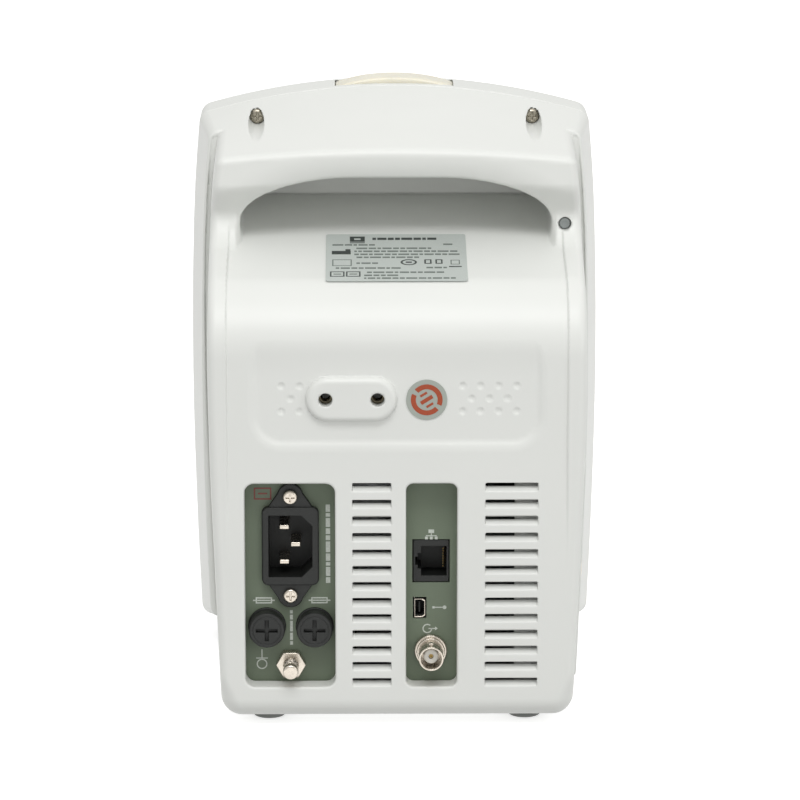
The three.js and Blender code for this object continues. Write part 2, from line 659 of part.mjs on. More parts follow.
function earthNut() {
  const cornerR = 5 / Math.cos(Math.PI / 6);
  const corners = [0, 1, 2, 3, 4, 5].map((i) => {
    const angle = (i * Math.PI) / 3;
    return [STUD.x + cornerR * Math.cos(angle), STUD.z + cornerR * Math.sin(angle)];
  });
  const nut = extrudeY(polygon(corners), PANEL_Y + GAP, PANEL_Y + 4.9);
  return nut.subtract(cylinderY(2.5 + GAP, PANEL_Y - 1, PANEL_Y + 6, STUD.x, STUD.z, 16));
}

// ---------------------------------------------------------------- data connectors
function dataPlate() {
  let made = extrudeY(windowShape(DATA_WINDOW, WELL - GAP), PANEL_Y - PLATE, PANEL_Y);
  const cut = (w, h, { x, z }) =>
    box(x - w / 2 - GAP, x + w / 2 + GAP, PANEL_Y - 3, PANEL_Y + 1, z - h / 2 - GAP, z + h / 2 + GAP);
  made = made.subtract(cut(ETHERNET.width + 1.2, ETHERNET.height + 1.2, ETHERNET));
  made = made.subtract(cut(USB.width + 0.8, USB.height + 0.8, USB));
  return made.subtract(cylinderY(4.8 + GAP, PANEL_Y - 3, PANEL_Y + 1, BNC.x, BNC.z));
}

function ethernetJack() {
  const { x, z, width, height } = ETHERNET;
  const half = [(width + 1.2) / 2, (height + 1.2) / 2];
  const shell = box(x - half[0], x + half[0], PANEL_Y - 18, PANEL_Y + 0.2, z - half[1], z + half[1]);
  const plug = box(x - width / 2 + 0.4, x + width / 2 - 2.6, PANEL_Y - 12, PANEL_Y + 1, z - 5.9, z + 5.9);
  const latch = box(x, x + width / 2 - 0.4, PANEL_Y - 12, PANEL_Y + 1, z - 3.1, z + 3.1);
  return shell.subtract(plug).subtract(latch);
}

function usbJack() {
  const { x, z, width, height } = USB;
  const shell = box(x - width / 2, x + width / 2, PANEL_Y - 9, PANEL_Y + 0.4, z - height / 2, z + height / 2);
  const port = polygon([
    [x - 1.5, z - 2.4], [x - 0.2, z - 3.2], [x + 1.5, z - 3.2],
    [x + 1.5, z + 3.2], [x - 0.2, z + 3.2], [x - 1.5, z + 2.4],
  ]);
  const tongue = box(x - 0.4, x + 0.4, PANEL_Y - 8, PANEL_Y - 1.5, z - 2.4, z + 2.4);
  return shell.subtract(extrudeY(port, PANEL_Y - 7, PANEL_Y + 1)).add(tongue);
}

function bncShell() {
  const p = PANEL_Y;
  const profile = [
    [2.5, p - 11], [4.8, p - 11], [4.8, p + GAP], [6.35, p + GAP], [6.35, p + 3], [4.8, p + 3.4],
    [4.8, BNC.tip], [4.1, BNC.tip], [4.1, p + 5], [2.5, p + 5], [2.5, p - 11],
  ];
  const lugs = [-4.5, 4.5].map((dz) => {
    const z = BNC.z + dz;
    return cylinderZ(1, z - 1, z + 1, BNC.x, BNC.tip - 4, 10);
  });
  return turnedY(profile, BNC.x, BNC.z, 24).add(union(...lugs));
}

function bncInsulator() {
  const y = PANEL_Y + 5 + GAP;
  const profile = [
    [1, PANEL_Y - 10], [2.2, PANEL_Y - 10], [2.2, y], [3.4, y], [3.4, y + 5], [1, y + 5], [1, PANEL_Y - 10],
  ];
  return turnedY(profile, BNC.x, BNC.z, 16);
}

function bncContact() {
  const tip = PANEL_Y + 9.6;
  return turnedY([[0, 53], [0.7, 53], [0.7, tip - 0.6], [0.3, tip], [0, tip]], BNC.x, BNC.z, 10);
}

// ---------------------------------------------------------------- fasteners, feet, labels, plug
function hoodScrew(x) {
  const seat = SCREW.headY - 2.2 + GAP;
  const profile = [
    [0, SCREW.tipY + GAP], [SCREW.shankR, SCREW.tipY + 2], [SCREW.shankR, seat], [SCREW.headR, seat],
    [SCREW.headR, SCREW.headY - 0.8], [SCREW.headR - 0.9, SCREW.headY], [0, SCREW.headY + 0.2],
  ];
  return turnedY(profile, x, SCREW.z, 16)
    .subtract(box(x - 1.8, x + 1.8, SCREW.headY - 0.9, SCREW.headY + 1, SCREW.z - 0.35, SCREW.z + 0.35))
    .subtract(box(x - 0.35, x + 0.35, SCREW.headY - 0.9, SCREW.headY + 1, SCREW.z - 1.8, SCREW.z + 1.8));
}

function bracketInsert(x) {
  return ringY(INSERT.r, INSERT.bore, PAD.face - INSERT.length, PAD.face - 0.2, x, PAD.z, 16);
}

function foot([x, y]) {
  const underFloor = FLOOR_Z - GAP;
  const overFloor = FLOOR_Z + WALL + GAP;
  const profile = [
    [0, 0], [5.6, 0], [6.5, 0.8], [6.5, underFloor], [2.9, underFloor], [2.9, overFloor], [3.9, overFloor],
    [2.4, overFloor + 2.2], [0, overFloor + 2.2],
  ];
  const points = profile.map(([r, z]) => new THREE.Vector2(r, z));
  return solid(new THREE.LatheGeometry(points, 14).rotateX(Math.PI / 2).translate(x, y, 0));
}

function ratingLabel() {
  const g = new THREE.BoxGeometry(LABEL.width, LABEL.length, SKIN);
  g.rotateX(-Math.atan(SLOPE_RISE));
  return solid(g.translate(0, LABEL.y, slopeZ(LABEL.y) + (GAP + SKIN / 2) * SLOPE_SCALE));
}

function roundSticker() {
  const y = REAR_Y - LEDGE.depth + GAP;
  return cylinderY(STICKER.r, y, y + SKIN, STICKER.x, STICKER.z, 32);
}

function handlePlug() {
  const y = LEG_REAR_Y;
  const profile = [[0, y - 3], [PLUG.r, y - 3], [PLUG.r, y], [1.6, y + 0.3], [0, y + 0.3]];
  return turnedY(profile, PLUG.x, PLUG.z, 12);
}

// ---------------------------------------------------------------- sensor sockets on the -X side
function sensorPlate() {
  const shape = roundedRect(SENSOR.y0, SENSOR.y1, SENSOR.z0, SENSOR.z1, SENSOR.corner);
  const plate = extrudeX(shape, -90, -50);
  const skin = trunk(-SENSOR.proud, PARTING_Y).subtract(trunk(-GAP, PARTING_Y - 1));
  return plate.intersect(skin).subtract(sensorHoles(GAP));
}

function trunkSideX(z) {
  const widths = [[FLOOR_Z + FLOOR_CORNER, TRUNK_FOOT_WIDTH], ...TRUNK_WIDTHS];
  const above = widths.findIndex(([level]) => level > z);
  const [z0, w0] = widths[above - 1];
  const [z1, w1] = widths[above];
  return -(w0 + ((w1 - w0) * (z - z0)) / (z1 - z0) - 1);
}

// Turned about a line along X: the profile lists radius and how far outwards from the trunk's side.
function turnedX(profile, y, z, segments = 20) {
  const points = profile.map(([r, out]) => new THREE.Vector2(r, out));
  const g = new THREE.LatheGeometry(points, segments).rotateZ(Math.PI / 2);
  return solid(g.translate(trunkSideX(z), y, z));
}

function spo2Socket() {
  const { z, r } = SOCKETS.spo2;
  const body = turnedX([[0, -14], [r, -14], [r, 1], [0, 1]], SOCKET_Y, z, 24);
  const x = trunkSideX(z);
  const port = extrudeX(roundedRect(SOCKET_Y - 3.4, SOCKET_Y + 3.4, z - 6, z + 6, 1.5), x - 3, x + 8, 2);
  const tongue = box(x + 0.5, x + 9, SOCKET_Y - 1.4, SOCKET_Y + 1.4, z - 4.4, z + 4.4);
  return body.subtract(port).add(tongue);
}

function nibpPort() {
  const { z, r } = SOCKETS.nibp;
  const profile = [
    [2, -10], [r, -10], [r, 1.4], [5.2, 1.4], [5.2, -5], [3.4, -5], [3.4, 0.4], [2.8, 1], [2, 1], [2, -10],
  ];
  return turnedX(profile, SOCKET_Y, z);
}

function tempSocket() {
  const { z, r } = SOCKETS.temp;
  const profile = [[0, -12], [r, -12], [r, 1], [r - 0.8, 1.4], [3.2, 1.4], [3.2, -8], [0, -8]];
  return turnedX(profile, SOCKET_Y, z);
}

// ---------------------------------------------------------------- inside the casing
function chassisPlate() {
  const sheet = box(-64, 64, -41, -39.5, 16, 182);
  const lugs = [-60, 60].map((x) => box(x - 4, x + 4, -39.8, -30, 16, 17.5));
  return union(sheet, ...lugs).subtract(box(-14, 14, -43, -38, 120, 150));
}

function mainBoard() {
  const board = box(-58, 58, -34, -32.4, 84, 178);
  const chips = [[-30, 140, 14], [8, 150, 10], [36, 120, 8], [-44, 104, 6]];
  const packages = chips.map(([x, z, half]) => box(x - half, x + half, -32.6, -30, z - half, z + half));
  return union(board, ...packages, box(-20, 30, -32.6, -26, 88, 94));
}

function powerBoard() {
  const board = box(16, 66, -30, 28, 12, 13.6);
  return union(
    board,
    box(22, 44, -22, 2, 13.4, 38),
    cylinderZ(6, 13.4, 34, 54, -6, 12),
    cylinderZ(4, 13.4, 28, 54, 12, 12),
    box(24, 40, 8, 22, 13.4, 26),
  );
}

function batteryPack() {
  return extrudeZ(roundedRect(-66, -8, -30, -4, 4), 10, 74, 3);
}

function airPump() {
  const motor = cylinderX(11, -58, -30, 38, 128, 16);
  const head = box(-30.5, -12, 26, 50, 116, 140);
  const nozzle = cylinderX(2, -12.5, -5, 38, 134, 10);
  return union(motor, head, nozzle);
}

function valveBlock() {
  const barbs = [128, 138].map((z) => cylinderY(2, 49, 57, 22, z, 10));
  return union(box(14, 46, 32, 50, 122, 144), ...barbs);
}

// ---------------------------------------------------------------- assembly
const FINISHES = {
  casing: { color: 0xe8eae6, roughness: 0.5, metalness: 0 },
  plate: { color: 0x5c7060, roughness: 0.55, metalness: 0 },
  blackPlastic: { color: 0x232623, roughness: 0.45, metalness: 0 },
  glass: { color: 0x101214, roughness: 0.08, metalness: 0 },
  lamp: { color: 0xf0ecde, roughness: 0.25, metalness: 0 },
  keyRubber: { color: 0x9aa5a8, roughness: 0.7, metalness: 0 },
  nickel: { color: 0xbeb4a5, roughness: 0.28, metalness: 1 },
  brass: { color: 0xb8944e, roughness: 0.35, metalness: 1 },
  footRubber: { color: 0x8d8f8c, roughness: 0.85, metalness: 0 },
  label: { color: 0xb2bab6, roughness: 0.5, metalness: 0.1 },
  sticker: { color: 0xa0a69e, roughness: 0.55, metalness: 0 },
  sensorBlue: { color: 0x3d6f9c, roughness: 0.5, metalness: 0 },
  aluminium: { color: 0xa9adb0, roughness: 0.45, metalness: 1 },
  board: { color: 0x2e5b40, roughness: 0.6, metalness: 0 },
  insulator: { color: 0xf2f1ec, roughness: 0.5, metalness: 0 },
  fuseGlass: { color: 0xd7dcd8, roughness: 0.1, metalness: 0 },
  greyPlastic: { color: 0x8a8f90, roughness: 0.55, metalness: 0 },
};

const monitor = new THREE.Group();

function place(name, finish, made) {
  const mesh = new THREE.Mesh(geometryOf(made), new THREE.MeshStandardMaterial(FINISHES[finish]));
  mesh.name = name;
  monitor.add(mesh);
}

place("rear_housing", "casing", rearHousing());
place("front_housing", "casing", frontHousing());
place("screen_window", "glass", screenWindow());
place("lcd_module", "aluminium", lcdModule());
place("alarm_lens", "lamp", alarmLens());
place("keypad_board", "board", keypadBoard());
KEYS.xs.forEach((x, i) => place(`key_${i + 1}`, "keyRubber", key(x)));
place("power_key", "keyRubber", powerKey());
place("status_light", "lamp", statusLight());
place("encoder_knob", "greyPlastic", encoderKnob());
place("encoder_shaft", "nickel", encoderShaft());
place("encoder_plunger", "nickel", encoderPlunger());
place("encoder_body", "aluminium", encoderBody());
place("speaker", "blackPlastic", speaker());

place("mains_plate", "plate", mainsPlate());
place("mains_inlet", "blackPlastic", mainsInlet());
for (const [name, extent] of Object.entries(bladeSlots(0))) {
  place(`inlet_pin_${name}`, "nickel", inletPin(extent));
}
place("inlet_screw_top", "nickel", panHeadScrew(INLET.x, inletScrewZs()[0]));
place("inlet_screw_bottom", "nickel", panHeadScrew(INLET.x, inletScrewZs()[1]));
for (const [side, x] of Object.entries(FUSE.xs)) {
  place(`fuse_holder_${side}`, "blackPlastic", fuseHolder(x));
  place(`fuse_cap_${side}`, "blackPlastic", fuseCap(x));
  place(`fuse_link_${side}`, "fuseGlass", fuseLink(x));
}
place("earth_stud", "nickel", earthStud());
place("earth_nut", "nickel", earthNut());

place("data_plate", "plate", dataPlate());
place("ethernet_jack", "blackPlastic", ethernetJack());
place("usb_jack", "nickel", usbJack());
place("bnc_shell", "nickel", bncShell());
place("bnc_insulator", "insulator", bncInsulator());
place("bnc_contact", "brass", bncContact());

place("casing_screw_left", "nickel", hoodScrew(-SCREW.x));
place("casing_screw_right", "nickel", hoodScrew(SCREW.x));
place("bracket_insert_left", "brass", bracketInsert(insertXs()[0]));
place("bracket_insert_right", "brass", bracketInsert(insertXs()[1]));
for (const [name, at] of Object.entries(FEET)) {
  place(`foot_${name}`, "footRubber", foot(at));
}
place("rating_label", "label", ratingLabel());
place("round_sticker", "sticker", roundSticker());
place("handle_plug", "greyPlastic", handlePlug());

place("sensor_plate", "casing", sensorPlate());
place("spo2_socket", "sensorBlue", spo2Socket());
place("nibp_port", "nickel", nibpPort());
place("temp_socket", "blackPlastic", tempSocket());

place("chassis_plate", "aluminium", chassisPlate());
place("main_board", "board", mainBoard());
place("power_board", "board", powerBoard());
place("battery_pack", "greyPlastic", batteryPack());
place("air_pump", "blackPlastic", airPump());
place("valve_block", "aluminium", valveBlock());

export default monitor;
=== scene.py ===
"""The looks of a portable patient monitor, seen from behind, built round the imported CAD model."""

import json
import math

import bmesh
import bpy
import numpy as np
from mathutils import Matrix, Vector


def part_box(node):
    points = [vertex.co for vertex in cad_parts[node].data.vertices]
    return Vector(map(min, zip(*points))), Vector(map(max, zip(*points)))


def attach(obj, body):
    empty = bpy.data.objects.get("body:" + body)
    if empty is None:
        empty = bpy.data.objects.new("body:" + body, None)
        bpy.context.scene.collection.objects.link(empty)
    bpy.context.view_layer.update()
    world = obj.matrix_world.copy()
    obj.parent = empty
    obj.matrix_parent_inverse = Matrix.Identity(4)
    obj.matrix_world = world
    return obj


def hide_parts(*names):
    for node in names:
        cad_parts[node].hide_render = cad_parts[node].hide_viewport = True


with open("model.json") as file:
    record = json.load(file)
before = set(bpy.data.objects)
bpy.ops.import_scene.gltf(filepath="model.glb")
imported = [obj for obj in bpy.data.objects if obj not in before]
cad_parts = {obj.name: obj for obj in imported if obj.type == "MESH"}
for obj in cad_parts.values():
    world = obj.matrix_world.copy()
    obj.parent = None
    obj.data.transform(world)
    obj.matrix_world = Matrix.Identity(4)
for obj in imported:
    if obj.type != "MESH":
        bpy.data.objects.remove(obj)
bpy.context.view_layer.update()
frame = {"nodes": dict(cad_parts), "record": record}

MM = 0.001  # every size below is in millimetres, in the frame of the CAD model


# ---------------------------------------------------------------- places taken from the frame
def span(node):
    """Lowest and highest corner of a CAD node, in millimetres."""
    low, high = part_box(node)
    return np.array(low) / MM, np.array(high) / MM


def middle(node):
    low, high = span(node)
    return (low + high) / 2


def half_width(node):
    low, high = span(node)
    return (high[0] - low[0]) / 2


def face_of(low, high):
    """Centre in x and z, width and height of a box."""
    return (low[0] + high[0]) / 2, (low[2] + high[2]) / 2, high[0] - low[0], high[2] - low[2]


CASE_LOW, CASE_HIGH = span("rear_housing")
FRONT_Y = span("front_housing")[0][1]
PARTING_Y = CASE_LOW[1]
FLOOR_Z = CASE_LOW[2]
PLATE_Y = span("mains_plate")[1][1]
REAR_Y = PLATE_Y + 10
WALL = 2.5
SEAM = 0.3
PARTING_R = 0.45

# Rear form: half-widths against height, the sloping top, the hood over the hand pocket.
TRUNK = [(4, 71.4), (60, 73.6), (115, 75.5), (150, 75.8), (185, 74.9), (205, 73.6), (222, 71.2), (240, 67)]
TRUNK_EDGE_R = 8.0
TRUNK_CORNER_R, TRUNK_FOOT_R, TRUNK_FOOT_FADE = 3.2, 4.6, (-22, -8)
TAPER = 3
FRAME = [(12, 80.2), (60, 82), (110, 83), (160, 82.6), (200, 81), (214, 79.9), (240, 77.5)]
FRAME_FLOOR = 12
FRAME_REAR_Y = -12
FRAME_DRAFT = 5
FRAME_FLOOR_RISE = 0.24
FRAME_LOW_R, FRAME_TOP_R, FRAME_REAR_R = 4.5, 3.4, 1.0
FRAME_SLANT, HOOD_SLANT = 0.97, 0.98  # bring a sloping face's field back to true distances
GROOVE, GROOVE_DEPTH, GROOVE_FADE = 1.7, 1.8, (196, 218)
SLOPE_Y, SLOPE_Z, SLOPE_RISE = 15, 184.6, 0.207
SLOPE_LENGTH = math.hypot(1, SLOPE_RISE)
SHOULDER_R = 23
HOOD_Y, LEG_Y, LEG_FADE = 28, 19, (191, 207)
HOOD_TOP, HOOD_SAG, HOOD_EDGE_R = 220.5, 4.8, 2.8
LIP_BACK, LIP_IN = 0.82, 0.57  # how the bevel under the hood faces: to the rear, and into the pocket
LIP_CUT, LIP_LESS, LIP_FADE, LIP_R = 3, 5.3, (188, 203), 3.5
LEG_FILLET, LEG_FLARE, LEG_FLARE_Y, LEG_FLARE_X = 0.9, 11.5, (2, 17), (60, 63.5)
ARCH_Y, ARCH_TOP, ARCH_SAG = -46, 235, 11.8
ARCH_X = 80
POCKET_Y, POCKET_HALF = -26, 61.5
POCKET_ARC_X, POCKET_ARC_Z, POCKET_RISE = 18, 190, 18.8
POCKET_FLOOR_R, POCKET_MOUTH_R = 2.5, 1.2
POCKET_SEAM_Z, POCKET_SEAM, POCKET_SEAM_DEPTH = 193.0, 0.65, 1.1
POCKET_DOT, POCKET_DOT_R = (-29.9, 195.9), 0.6
RAIL_X, RAIL_DEPTH, RAIL_EDGE = 65.6, 1.0, 0.4
RAIL_START, RAIL_END = (62, 118), (187, 192)
LEDGE_HALF, LEDGE_Z, LEDGE_CORNER, LEDGE_DEPTH, LEDGE_DRAFT = 54, 115.3, 9.5, 1.3, 1.9
LEDGE_FADE, LEDGE_Y = (140, 160), REAR_Y - RAIL_DEPTH - LEDGE_DEPTH

MAINS = span("mains_plate")
DATA = span("data_plate")
WELL = 1.3  # how far a connector plate reaches behind the edge of its window
WELL_WALL = 1.8
WINDOWS = {"mains": (MAINS, 3.8), "data": (DATA, 2.9)}  # each with its corner radius
VENTS = [(9.9, 15.0), (-44.2, 20.4)]
SLOTS, SLOT_TOP, SLOT_PITCH = 13, 97.85, 6.463
SLOT_HEIGHT, SLOT_RISE, SLOT_DEPTH = 3.1, 2.1, 2.7
VENT_SKIRT = 1.5  # how much wider than its slots the thickened wall behind a vent is
RIB_Y, RIB_SHARE = (REAR_Y - 12, REAR_Y - 10), 0.07

INSERTS = [middle("bracket_insert_right"), middle("bracket_insert_left")]
PAD = (INSERTS[0] + INSERTS[1]) / 2
PAD_SIZE, PAD_RISE, PAD_EDGE_R = (35, 17.4), 0.5, 2.4
INSERT_Y, INSERT_END_Y = REAR_Y - 6, REAR_Y - 11.5
INSERT_R, INSERT_BORE_R, INSERT_PITCH = 2.9, 1.75, 0.7
BOSS_R, SEAT_R, MOUTH_R, BORE_END_Y = 5.2, 3.15, 2.65, REAR_Y - 12.5
DIMPLE_PITCH, DIMPLE_RISE, DIMPLE_LIFT, DIMPLE_R = 6.95, 5.0, 1.45, 2.05
SCREWS = [middle("casing_screw_right"), middle("casing_screw_left")]
SCREW_HEAD_Y = span("casing_screw_left")[1][1]
SCREW_BORE_R, SHANK_BORE_R, POST_HALF, POST_END_Y = 3.12, 1.8, 5.3, 16
PLUG = middle("handle_plug")
FOOT_NAMES = [f"foot_{end}_{side}" for end in ("front", "rear") for side in ("left", "right")]
FEET = {name: middle(name) for name in FOOT_NAMES}
SOCKETS = {name: middle(name) for name in ("spo2_socket", "nibp_port", "temp_socket")}
SOCKET_HOLES = (8.8, 7.3, 6.3)


# ---------------------------------------------------------------- signed distance fields
class Points:
    """Where a field is sampled: a box grid, as three broadcast axes, or a list of points."""

    def __init__(self, x, y, z):
        self.x, self.y, self.z = x, y, z

    def near(self, low, high):
        """The samples inside a box: how to pick them from a field, and their places."""
        axes = (self.x, self.y, self.z)
        if self.x.ndim == 3:
            at = tuple(
                slice(*np.searchsorted(axis.ravel(), (a, b)))
                for axis, a, b in zip(axes, low, high)
            )
            return at, Points(self.x[at[0]], self.y[:, at[1]], self.z[:, :, at[2]])
        inside = np.ones(self.x.shape, bool)
        for axis, a, b in zip(axes, low, high):
            inside &= (axis > a) & (axis < b)
        at = np.nonzero(inside)
        return at, Points(self.x[at], self.y[at], self.z[at])


def rmax(a, b, r):
    """What two shapes share, with the edge between them rounded to radius r."""
    return np.minimum(-r, np.maximum(a, b)) + np.hypot(np.maximum(a + r, 0), np.maximum(b + r, 0))


def rmin(a, b, r):
    """Two shapes together, with a fillet of radius r between them."""
    return -rmax(-a, -b, r)


def smooth(v, low, high):
    t = np.clip((v - low) / (high - low), 0, 1)
    return t * t * (3 - 2 * t)


def between(v, low, high):
    return np.maximum(low - v, v - high)


def off_axis(q, at):
    """Distance from the line along y through a place."""
    return np.hypot(q.x - at[0], q.z - at[2])


def ridge(q, at, pitch):
    """A screw thread round the line along y through a place: 0 to 1 from groove to crest."""
    turn = np.arctan2(q.z - at[2], q.x - at[0]) / (2 * math.pi)
    return np.abs((q.y / pitch + turn) % 1 - 0.5) * 2


def rect(u, v, width, height, corner):
    """A rounded rectangle round the origin."""
    a = np.abs(u) - width / 2 + corner
    b = np.abs(v) - height / 2 + corner
    return np.hypot(np.maximum(a, 0), np.maximum(b, 0)) + np.minimum(np.maximum(a, b), 0) - corner


def outline(u, v, points):
    """A closed polygon of (u, v) points."""
    nearest = np.inf
    side = np.ones(np.broadcast(u, v).shape, bool)
    for (u0, v0), (u1, v1) in zip(points, points[1:] + points[:1]):
        du, dv = u1 - u0, v1 - v0
        a, b = u - u0, v - v0
        t = np.clip((a * du + b * dv) / (du * du + dv * dv), 0, 1)
        nearest = np.minimum(nearest, (a - du * t) ** 2 + (b - dv * t) ** 2)
        low, high, left = v >= v0, v < v1, du * b > dv * a
        side ^= (low & high & left) | ~(low | high | left)
    return np.where(side, 1, -1) * np.sqrt(nearest)


def profile_at(z, table):
    """A value read from (height, value) pairs along a smooth curve."""
    heights, values = np.array(table, float).T
    slopes = np.gradient(values, heights)
    at = np.clip(np.searchsorted(heights, z) - 1, 0, len(heights) - 2)
    step = heights[at + 1] - heights[at]
    t = np.clip((z - heights[at]) / step, 0, 1)
    return (
        (1 + 2 * t) * (1 - t) ** 2 * values[at]
        + t * (1 - t) ** 2 * step * slopes[at]
        + t * t * (3 - 2 * t) * values[at + 1]
        + t * t * (t - 1) * step * slopes[at + 1]
    )


def change(field, p, low, high, how):
    """Reworks a field inside a box only. how takes the field there and its places."""
    at, q = p.near(low, high)
    if field[at].size:
        field[at] = how(field[at], q)


def change_near(field, p, x, z, reach, y0, y1, how):
    """Reworks a field inside a square column along y, from y0 to y1."""
    change(field, p, (x - reach, y0, z - reach), (x + reach, y1, z + reach), how)


# ---------------------------------------------------------------- fields to meshes
def spaced(low, high, coarse, fine, bands):
    """Grid lines from low to high, closer together inside the bands."""
    lines = [low]
    while lines[-1] < high:
        v = lines[-1]
        in_band = any(a - coarse <= v < b for a, b in bands)
        lines.append(v + (fine if in_band else coarse))
    return np.array(lines, np.float32)


def crossings(f, axes):
    """Where the surface crosses the grid's edges, with the four cells round each crossing."""
    inside = f < 0
    cells = np.array(f.shape) - 1
    points, rings = [], []
    turn = {
        0: [(0, -1, -1), (0, 0, -1), (0, 0, 0), (0, -1, 0)],
        1: [(-1, 0, -1), (-1, 0, 0), (0, 0, 0), (0, 0, -1)],
        2: [(-1, -1, 0), (0, -1, 0), (0, 0, 0), (-1, 0, 0)],
    }
    for axis in range(3):
        first = [slice(None)] * 3
        second = [slice(None)] * 3
        first[axis], second[axis] = slice(None, -1), slice(1, None)
        at = np.array(np.nonzero(inside[tuple(first)] != inside[tuple(second)]))
        others = [k for k in range(3) if k != axis]
        kept = np.all([(at[k] > 0) & (at[k] < cells[k]) for k in others], axis=0)
        at = at[:, kept]
        after = at.copy()
        after[axis] += 1
        f0, f1 = f[tuple(at)], f[tuple(after)]
        where = [axes[k][at[k]].astype(float) for k in range(3)]
        where[axis] += f0 / (f0 - f1) * (axes[axis][after[axis]] - axes[axis][at[axis]])
        ring = [np.ravel_multi_index(at + np.array(d)[:, None], cells) for d in turn[axis]]
        ring = np.array(ring).T
        flipped = f0 > 0
        ring[flipped] = ring[flipped][:, ::-1]
        points.append(np.array(where).T)
        rings.append(ring)
    return np.concatenate(points), np.concatenate(rings)


def sample(field, points):
    return np.asarray(field(Points(*points.T)), float)


def gradient(field, points, h=0.04):
    slope = np.empty_like(points)
    for k in range(3):
        step = np.zeros(3)
        step[k] = h
        slope[:, k] = sample(field, points + step) - sample(field, points - step)
    return slope / (2 * h)


def settle(field, points, reach):
    """Moves points on to the field's surface, by no more than reach in each of three rounds."""
    for _ in range(3):
        slope = gradient(field, points)
        size = np.maximum((slope**2).sum(1), 0.05)
        move = -(sample(field, points) / size)[:, None] * slope
        length = np.maximum(np.linalg.norm(move, axis=1, keepdims=True), 1e-9)
        points = points + move * np.minimum(1, reach / length)
    return points


def mesh_of(name, points, faces):
    mesh = bpy.data.meshes.new(name)
    mesh.vertices.add(len(points))
    mesh.vertices.foreach_set("co", (points * MM).astype(np.float32).ravel())
    mesh.loops.add(faces.size)
    mesh.loops.foreach_set("vertex_index", faces.astype(np.int32).ravel())
    mesh.polygons.add(len(faces))
    mesh.polygons.foreach_set("loop_start", np.arange(0, faces.size, faces.shape[1], dtype=np.int32))
    mesh.update(calc_edges=True)
    return mesh


def thinned(mesh, most):
    """A copy of a mesh brought down to at most that many triangles."""
    triangles = 2 * len(mesh.polygons)
    if triangles <= most:
        return mesh
    holder = bpy.data.objects.new("holder", mesh)
    bpy.context.scene.collection.objects.link(holder)
    decimate = holder.modifiers.new("thin", "DECIMATE")
    decimate.ratio = most / triangles
    decimate.use_collapse_triangulate = True
    graph = bpy.context.evaluated_depsgraph_get()
    thin = bpy.data.meshes.new_from_object(holder.evaluated_get(graph))
    bpy.data.objects.remove(holder)
    return thin


def place(name, mesh, body, stands_for=()):
    made = bpy.data.objects.new(name, mesh)
    bpy.context.scene.collection.objects.link(made)
    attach(made, body)
    if stands_for:
        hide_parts(*stands_for)
    return made


def grown(name, field, axes, body, stands_for=(), most=60000):
    """A piece grown from a field: its surface on the grid, settled, thinned and shaded by the field."""
    x, y, z = axes
    grid = Points(x[:, None, None], y[None, :, None], z[None, None, :])
    f = np.ascontiguousarray(np.broadcast_to(field(grid), (len(x), len(y), len(z))))
    points, rings = crossings(f, axes)
    cells, index = np.unique(rings, return_inverse=True)
    index = index.reshape(rings.shape)
    count = np.bincount(index.ravel(), minlength=len(cells))
    verts = np.empty((len(cells), 3))
    for k in range(3):
        verts[:, k] = np.bincount(index.ravel(), np.repeat(points[:, k], 4), len(cells)) / count
    reach = min(0.6, max(np.diff(axis).max() for axis in axes) / 2)
    verts = settle(field, verts, reach)
    mesh = thinned(mesh_of(name, verts, index), most)
    co = np.empty(3 * len(mesh.vertices), np.float32)
    mesh.vertices.foreach_get("co", co)
    slope = gradient(field, co.reshape(-1, 3).astype(float) / MM)
    slope /= np.maximum(np.linalg.norm(slope, axis=1, keepdims=True), 1e-9)
    mesh.polygons.foreach_set("use_smooth", np.ones(len(mesh.polygons), bool))
    mesh.normals_split_custom_set_from_vertices(slope)
    mesh.name = name
    return place(name, mesh, body, stands_for)


def even_axes(low, high, cell):
    margin = 2 * cell
    return [np.arange(a - margin + 0.013, b + margin, cell, dtype=np.float32) for a, b in zip(low, high)]


# ---------------------------------------------------------------- casing: the rear housing
def top_at(x, y):
    """Height of the hood's top, ruled between the arch over the screen and the hood's rear edge."""
    across = (x / ARCH_X) ** 2
    front = ARCH_TOP - ARCH_SAG * across
    rear = HOOD_TOP - HOOD_SAG * across
    t = np.clip((y - ARCH_Y) / (HOOD_Y - ARCH_Y), 0, 1.3)
    return front + (rear - front) * t


def slope_over(y, z):
    return (z - SLOPE_Z - SLOPE_RISE * (SLOPE_Y - y)) / SLOPE_LENGTH


def pocket_at(x, y, z):
    a = np.maximum(np.abs(x) - POCKET_ARC_X, 0) / (POCKET_HALF - POCKET_ARC_X)
    b = np.maximum(z - POCKET_ARC_Z, 0) / POCKET_RISE
    e = np.hypot(a, b)
    steep = np.hypot(a / (POCKET_HALF - POCKET_ARC_X), b / POCKET_RISE)
    arch = (e - 1) * np.maximum(e, 1e-4) / np.maximum(steep, 1e-5)
    arch = np.maximum(arch, -POCKET_RISE)
    return rmax(arch, POCKET_Y - y, POCKET_FLOOR_R)


def trunk_side(x, y, z):
    reach = profile_at(z, TRUNK) - TAPER * (y - PARTING_Y) / (REAR_Y - PARTING_Y)
    return np.abs(x) - reach


def frame_form(x, y, z, draft):
    """The wider outer frame round the trunk."""
    side = np.abs(x) - profile_at(z, FRAME) + draft
    floor_z = FRAME_FLOOR + FRAME_FLOOR_RISE * np.maximum(y - PARTING_Y, 0)
    ring = rmax(side, (floor_z - z) * FRAME_SLANT, FRAME_LOW_R)
    return rmax(ring, (z - top_at(x, y)) * FRAME_SLANT, FRAME_TOP_R)


